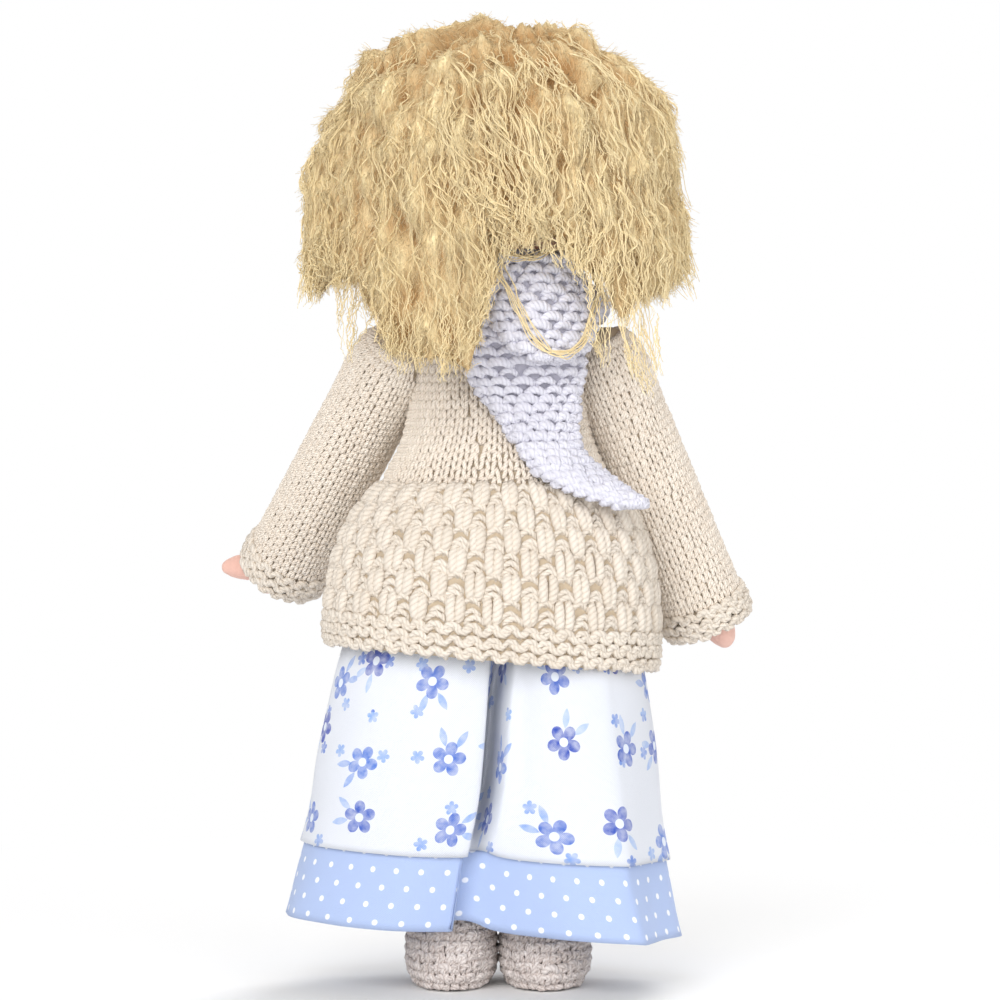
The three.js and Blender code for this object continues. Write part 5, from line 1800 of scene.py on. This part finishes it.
def make_hair_mass(lengths):
    """Strands side by side, lumpy and curled, that end in points at their own lengths."""
    piece = joined_hair()
    mesh = piece.data
    points = read(mesh.vertices, "co") / MM
    x, y, height = points.T
    azimuth = np.arctan2(x, -y) % TURN
    wander = np.column_stack([WANDER_TURNS * azimuth, 0 * azimuth, height / WANDER_SIZE])
    turn = (STRANDS * azimuth / TURN + STRAND_WANDER * noise_at(wander, 1)) % STRANDS
    reach = np.hypot(x, y)
    ridge = np.sin(math.pi * (turn % 1)) ** STRAND_ROUND - STRAND_BELOW
    ridge = ease(*STRAND_FADE, reach) * ridge
    clump = clumps(points)
    wool = noise_at(points / WOOL_SIZE, 2)
    parting = bell(x, PARTING_X, PARTING_WIDTH) * ease(*PARTING_FADE, height) * (y > 0)
    hang = np.maximum(STRAND_TOP - height, 0)
    share = np.clip(hang / (STRAND_TOP - hair_tip(azimuth)), 0, 1)
    inside = hair_reach(azimuth) - STRAND_MIDDLE
    reach = inside + (reach - inside) * (1 - STRAND_TAPER * share**2)
    azimuth = azimuth + (0.5 - turn % 1) * TURN / STRANDS * STRAND_CURL * share**2
    height = np.where(hang > 0, STRAND_TOP - share * lengths[turn.astype(int)], height)
    points = np.column_stack([reach * np.sin(azimuth), -reach * np.cos(azimuth), height])
    rise = STRAND_RISE * ridge + CLUMP_RISE * clump + WOOL_RISE * wool - PARTING_DEPTH * parting - HAIR_SINK
    rise = rise - TOP_SINK * ease(*TOP_FADE, height)
    points = points + read(mesh.vertices, "normal") * (rise * (1 - TIP_CALM * share))[:, None]
    mesh.vertices.foreach_set("co", narrowed(points).ravel() * MM)
    # Painted light and shade: the tint is lighter on ridges, clumps and wool, darker in the hollows and
    # along the parting, and darker towards the crown
    tint = 0.5 + LUMP_SHADE * ridge + LUMP_SHADE * clump + LUMP_SHADE * wool - PARTING_SHADE * parting
    tint = tint - CROWN_SHADE * ease(*SHADE_FADE, points[:, 2])
    mesh.attributes.new("tint", "FLOAT", "POINT").data.foreach_set("value", tint)
    mesh.update()
    mesh.shade_smooth()
    mesh.materials.append(BRUSHED_BLOND)
    return finish_piece(piece, "head", "hair", *HAIR_NODES)


def outer_spots(piece, count):
    """Places on the outside of the hair, most of them on ridges painted light, with their directions and
    tints, which carry the hair's painted light and shade.
    """
    mesh = piece.data
    faces = mesh.polygons
    centres = read(faces, "center") / MM
    normals = read(faces, "normal")
    corners = read(faces, "loop_start", 1)[:, 0].astype(int)
    corners = read(mesh.loops, "vertex_index", 1)[corners, 0].astype(int)
    tints = read(mesh.attributes["tint"].data, "value", 1)[corners, 0]
    middle = np.column_stack([np.zeros((len(faces), 2)), np.minimum(centres[:, 2], HEAD_CENTRE)])
    outside = (unit(centres - middle) * normals).sum(axis=1) > FUZZ_FACING
    beside_face = (centres[:, 1] < FACE_BACK) & (np.hypot(centres[:, 0], centres[:, 1]) > HEAD_RADIUS)
    weight = read(faces, "area", 1)[:, 0] * (outside | beside_face) * np.clip(tints, FUZZ_LEAST, 1)
    chosen = chance.choice(len(faces), count, p=weight / weight.sum())
    chosen = chosen[np.argsort(np.arctan2(centres[chosen, 0], centres[chosen, 1]))]
    return centres[chosen] + chance.normal(0, FUZZ_SPREAD, (count, 3)), normals[chosen], tints[chosen]


def lay_fuzz(yarn, roots, normals, tints, points=3):
    """Short curly fibres combed from the crown down over the hair."""
    count = len(roots)
    lengths = chance.uniform(*FUZZ_LENGTHS, (count, 1))
    fall = unit(roots * [1, 1, 0]) * FUZZ_LEAN - [0, 0, 1]
    fall = unit(fall - normals * (fall * normals).sum(axis=1, keepdims=True))
    out, down, astray = FUZZ_START
    start = unit(out * normals + down * fall + chance.normal(0, astray, (count, 3)))
    down, astray = FUZZ_BEND
    bend = down * fall + chance.normal(0, astray, (count, 3))
    share = np.linspace(0, 1, points)
    paths = roots[:, None] - FUZZ_ROOT * normals[:, None] + start[:, None] * (lengths * share)[..., None]
    paths = paths + bend[:, None] * (FUZZ_CURL * lengths * share**2)[..., None]
    outs = np.broadcast_to(normals[:, None], paths.shape)
    # The fibres take the painted light and shade of the hair under them, with a tone of their own
    tints = np.clip(tints + chance.uniform(*FUZZ_TINTS, count), 0, 1)
    yarn.tubes(paths, FUZZ_RADIUS * (1 - FIBRE_TAPER * share), outs, sides=3, tints=tints)


def make_hair_fuzz(mass):
    roots, normals, tints = outer_spots(mass, FUZZ_PARTS * FUZZ_FIBRES)
    for part in range(FUZZ_PARTS):
        chosen = slice(part * FUZZ_FIBRES, (part + 1) * FUZZ_FIBRES)
        yarn = YarnMesh()
        lay_fuzz(yarn, roots[chosen], normals[chosen], tints[chosen])
        finish_piece(yarn.build(f"hair_fuzz_{part + 1}", HAIR_FUZZ), "head", "hair")


def hair_point(azimuth, height, out, aside=0.0):
    """A point at a height on the outside of the hair, moved out and to the side."""
    rise = np.clip((height - HAIR_SIDE_HEIGHT) / (HAIR_TOP - HAIR_SIDE_HEIGHT), 0, 1)
    # On the crown the hair is level, so there out is up
    level = ease(*CROWN_FADE, height)
    reach = hair_reach(azimuth) * (1 - rise**HAIR_POWER) ** (1 / HAIR_POWER) + out * (1 - level)
    x = reach * np.sin(azimuth) + aside * np.cos(azimuth)
    y = aside * np.sin(azimuth) - reach * np.cos(azimuth)
    return upright(height + level * (out - HAIR_SINK - TOP_SINK + CROWN_LIFT), x, y)


def crinkles(count, share, *waves):
    """Sums of waves of (number, size) with their own starts."""
    total = np.zeros((count, share.shape[1]))
    for number, size in waves:
        strength = chance.uniform(*CRINKLE_STRENGTHS, (count, 1))
        total += size * strength * np.sin(TURN * (number * share + chance.random((count, 1))))
    return total


def lay_locks(yarn, count, azimuths, tops, lengths, slant, points=28):
    """Crinkled locks of a few fibres each, that run down over the hair."""
    share = np.linspace(0, 1, points)[None]
    root = chance.uniform(*azimuths, (count, 1))
    end = root + slant + chance.normal(0, LOCK_SPREAD, (count, 1))
    top = chance.uniform(*tops, (count, 1))
    lowest = trim(end) - chance.uniform(*LOCK_RAGGED, (count, 1))
    bottom = np.maximum(top - chance.uniform(*lengths, (count, 1)), lowest)
    bottom = np.minimum(bottom, top - LOCK_LEAST)
    azimuth = root + (end - root) * share
    # Near the crown the hair is almost level, so a lock that starts there falls slowly at first
    height = top + (bottom - top) * share ** (1 + ease(*LOCK_FALL, top))
    out = CLUMP_RISE * clumps(hair_point(azimuth, height, 0))
    out = out + crinkles(count, share, *LOCK_OUT) - LOCK_SINK
    parts = (azimuth, height, out, crinkles(count, share, *LOCK_ASIDE))
    azimuth, height, out, aside = (np.repeat(part, LOCK_FIBRES, axis=0) for part in parts)
    out = out + crinkles(len(out), share, *FIBRE_OUT)
    aside = aside + crinkles(len(aside), share, *FIBRE_ASIDE)
    paths = narrowed(hair_point(azimuth, height, out, aside))
    yarn.tubes(paths, LOCK_RADIUS * (1 - FIBRE_TAPER * share**2), unit(paths - EYE_LEVEL), sides=3)


def lay_strand(yarn, spots, fibres=9, points=40):
    """A strand that lies on the scarf's flap, through places given as (x, height)."""
    share = np.linspace(0, 1, points)
    along = np.linspace(0, 1, len(spots))

    def spread(line, waves):
        fibre = smooth(along, line)(share)[None] + crinkles(fibres, share[None], *waves)
        return fibre + chance.normal(0, STRAND_SPREAD, (fibres, 1))

    x, height = np.transpose(spots)
    across = spread(x, STRAND_ACROSS)
    rise = spread(height, STRAND_UP)
    out = flap_back(across, rise) + ON_FLAP + chance.normal(0, STRAND_LIFT, (fibres, 1))
    paths = np.stack([across, out, rise], -1)
    yarn.tubes(paths, STRAND_RADIUS, np.broadcast_to([0, 1.0, 0], paths.shape), sides=4)


def lay_wisp(yarn, azimuth, tip, out, fibres=9, points=14):
    """Fibres that leave the hair above its lower edge and run together to a thin crinkled tip."""
    share = np.linspace(0, 1, points)[None]
    top = np.minimum(tip + chance.uniform(*WISP_LENGTHS, (fibres, 1)), WISP_TOP)
    end = tip + chance.uniform(*WISP_RAGGED, (fibres, 1))
    gather = chance.normal(0, WISP_SPREAD, (fibres, 1)) * (1 - WISP_GATHER * share)
    turn = azimuth + gather + crinkles(fibres, share, *WISP_TURN)
    reach = chance.uniform(*WISP_ROOTS, (fibres, 1)) * (1 - WISP_RETURN * share) + out * share**2
    paths = narrowed(hair_point(turn, top + (end - top) * share, reach))
    yarn.tubes(paths, WISP_RADIUS * (1 - WISP_TAPER * share), unit(paths - EYE_LEVEL), sides=3)


def make_hair_locks():
    for part, groups in HAIR_LOCKS.items():
        yarn = YarnMesh()
        for group in groups:
            lay_locks(yarn, *group)
        finish_piece(yarn.build(f"hair_locks_{part}", HAIR_THREAD), "head", "hair")


def make_hair_wisps(lengths):
    wisps = YarnMesh()
    for azimuth, tip, out in LONG_WISPS:
        lay_wisp(wisps, math.radians(azimuth), tip, out, LONG_WISP_FIBRES)
    for azimuth in chance.uniform(FRINGE_AZIMUTH, TURN - FRINGE_AZIMUTH, SHORT_WISPS):
        tip = chance.uniform(trim(azimuth), WISP_TOP - SHORT_WISP_DROP)
        lay_wisp(wisps, azimuth, tip, chance.uniform(*SHORT_WISP_OUT))
    for strand, length in enumerate(lengths):
        azimuth = TURN * (strand + 0.5) / STRANDS
        if FRINGE_AZIMUTH < azimuth < TURN - FRINGE_AZIMUTH:
            tip = STRAND_TOP - length - chance.uniform(*END_WISP_DROP)
            lay_wisp(wisps, azimuth, tip, chance.uniform(*END_WISP_OUT), END_WISP_FIBRES)
    finish_piece(wisps.build("hair_wisps", HAIR_THREAD), "head", "hair")


def make_crossing_strands():
    """Two strands that lie on the scarf and reach up to the hair."""
    yarn = YarnMesh()
    for spots in CROSSING_STRANDS:
        lay_strand(yarn, spots)
    piece = yarn.build("hair_strands_on_scarf", HAIR_THREAD)
    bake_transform(piece)
    return piece


def make_wig_cap():
    """The cloth cap that the hair is sewn to, with an edge that slopes from the forehead to the nape."""
    middle = (HAIRLINE_FRONT + HAIRLINE_BACK) / 2
    slope = (HAIRLINE_FRONT - HAIRLINE_BACK) / 2

    def surface(u, v):
        edge = np.arcsin((middle - slope * np.sin(TURN * u) - HEAD_CENTRE) / HEAD_HALF_HEIGHT)
        angle = edge + (math.pi / 2 - edge) * v
        reach = (HEAD_RADIUS + CAP_GAP) * np.cos(angle)
        height = HEAD_CENTRE + (HEAD_HALF_HEIGHT + CAP_GAP) * np.sin(angle)
        return upright(height, reach * np.cos(TURN * u), reach * np.sin(TURN * u))

    cap = YarnMesh()
    cap.shell(surface, CAP_COLUMNS, np.linspace(0, CAP_REACH, CAP_ROWS), CAP_WALL, 0, TURN * HEAD_RADIUS)
    cotton = plain_cloth("cap_cloth", colour(190, 140, 80), colour(222, 182, 118))
    piece = cap.build("wig_cap_cloth", cotton)
    return finish_piece(piece, "head", "hair", "wig_cap")


strand_middles = TURN * (np.arange(STRANDS) + 0.5) / STRANDS
strand_lengths = (STRAND_TOP - trim(strand_middles)) * chance.uniform(*STRAND_LENGTHS, STRANDS)
make_hair_fuzz(make_hair_mass(strand_lengths))
make_hair_locks()
make_hair_wisps(strand_lengths)
make_crossing_strands()
make_wig_cap()


# Inner pieces that keep their own form

def grained(name, dark, light, scale, roughness, depth):
    """A solid material with a grain; scale is how fine it is along each axis, for each metre."""
    material, tree, shader = new_material(name, roughness=roughness)
    grain = clouds(tree, mapped(tree, places(tree), scale=scale), 1.0, 4.0, 0.8)
    paint(tree, shader, ramp(tree, grain, 0.3, 0.7), dark, light)
    raise_surface(tree, shader, grain, depth)
    return material


DOWEL_WOOD = grained("dowel_wood", colour(176, 132, 82), colour(222, 184, 132), (900, 900, 60), 0.6, 0.1)
BUTTON_SHELL = grained("button_shell", colour(226, 222, 212), colour(248, 246, 240),
                       (300, 500, 500), 0.3, 0.02)
WAXED_THREAD = grained("waxed_thread", colour(206, 202, 192), colour(244, 242, 236),
                       (400, 3000, 3000), 0.7, 0.1)
INSOLE_CARD = grained("insole_card", colour(160, 130, 92), colour(200, 172, 132),
                      (1800, 1800, 1800), 0.9, 0.08)
INNER_NODES = {
    "neck_dowel": DOWEL_WOOD,
    "shoulder_thread": WAXED_THREAD,
    "hip_thread": WAXED_THREAD,
    "torso_stuffing": STUFFING,
    "head_stuffing": STUFFING,
}
for label in SIDE:
    INNER_NODES[f"arm_{label}_stuffing"] = STUFFING
    INNER_NODES[f"leg_{label}_stuffing"] = STUFFING
    INNER_NODES[f"shoulder_button_{label}"] = BUTTON_SHELL
    INNER_NODES[f"hip_button_{label}"] = BUTTON_SHELL
    INNER_NODES[f"insole_{label}"] = INSOLE_CARD
for node, material in INNER_NODES.items():
    mesh = bpy.data.objects[node].data
    mesh.materials.clear()
    mesh.materials.append(material)


# Floor, light and camera

def seen_by_eye(tree):
    """1 for what the camera sees, straight or by gloss or glass, and 0 for what lights the doll."""
    path = put(tree, "ShaderNodeLightPath").outputs
    seen = maths(tree, "MAXIMUM", path["Is Camera Ray"], path["Is Glossy Ray"])
    return maths(tree, "MAXIMUM", seen, path["Is Transmission Ray"])


def make_stage():
    bpy.ops.mesh.primitive_circle_add(
        vertices=96, radius=FLOOR_RADIUS, fill_type="NGON", location=(0, 0, -FLOOR_DROP)
    )
    floor = bpy.context.object
    floor.name = "floor"
    material, tree, shader = new_material("pale_floor", roughness=0.9, specular_ior_level=0.0,
                                          base_color=(FLOOR_WHITE, FLOOR_WHITE, FLOOR_WHITE, 1))
    far = ramp(tree, vector_maths(tree, "LENGTH", places(tree)), *FLOOR_FADE)
    share = maths(tree, "MULTIPLY", seen_by_eye(tree), far)
    white = put(tree, "ShaderNodeEmission", {"Strength": 1.0})
    mix = put(tree, "ShaderNodeMixShader", {0: share, 1: shader.outputs[0], 2: white.outputs[0]})
    tree.links.new(mix.outputs[0], tree.nodes["Material Output"].inputs["Surface"])
    floor.data.materials.append(material)


def make_light():
    world = bpy.data.worlds.new("studio")
    bpy.context.scene.world = world
    world.use_nodes = True
    tree = world.node_tree
    sky = tree.nodes["Background"]
    strength = put(tree, "ShaderNodeMix", {"Factor": seen_by_eye(tree), 2: SKY_STRENGTH, 3: 1.0}).outputs[0]
    sky.inputs["Color"].default_value = (1, 1, 1, 1)
    tree.links.new(strength, sky.inputs["Strength"])
    for name, place, power, size in LAMPS:
        light = bpy.data.lights.new(name, "AREA")
        light.energy = power
        light.size = size
        lamp = bpy.data.objects.new(name, light)
        lamp.location = place
        aim = Vector(LAMP_AIM) - Vector(place)
        lamp.rotation_euler = aim.to_track_quat("-Z", "Y").to_euler()
        bpy.context.collection.objects.link(lamp)


def make_camera():
    camera = bpy.data.cameras.new("camera")
    camera.sensor_width = SENSOR
    camera.lens = SENSOR * VIEW_DISTANCE / VIEW_WIDTH
    eye = bpy.data.objects.new("camera", camera)
    eye.location = (VIEW_MIDDLE[0] * MM, VIEW_DISTANCE * MM, VIEW_MIDDLE[1] * MM)
    eye.rotation_euler = (math.pi / 2, 0, math.pi)
    bpy.context.collection.objects.link(eye)
    bpy.context.scene.camera = eye


make_stage()
make_light()
make_camera()
bpy.context.scene.view_settings.view_transform = "Standard"
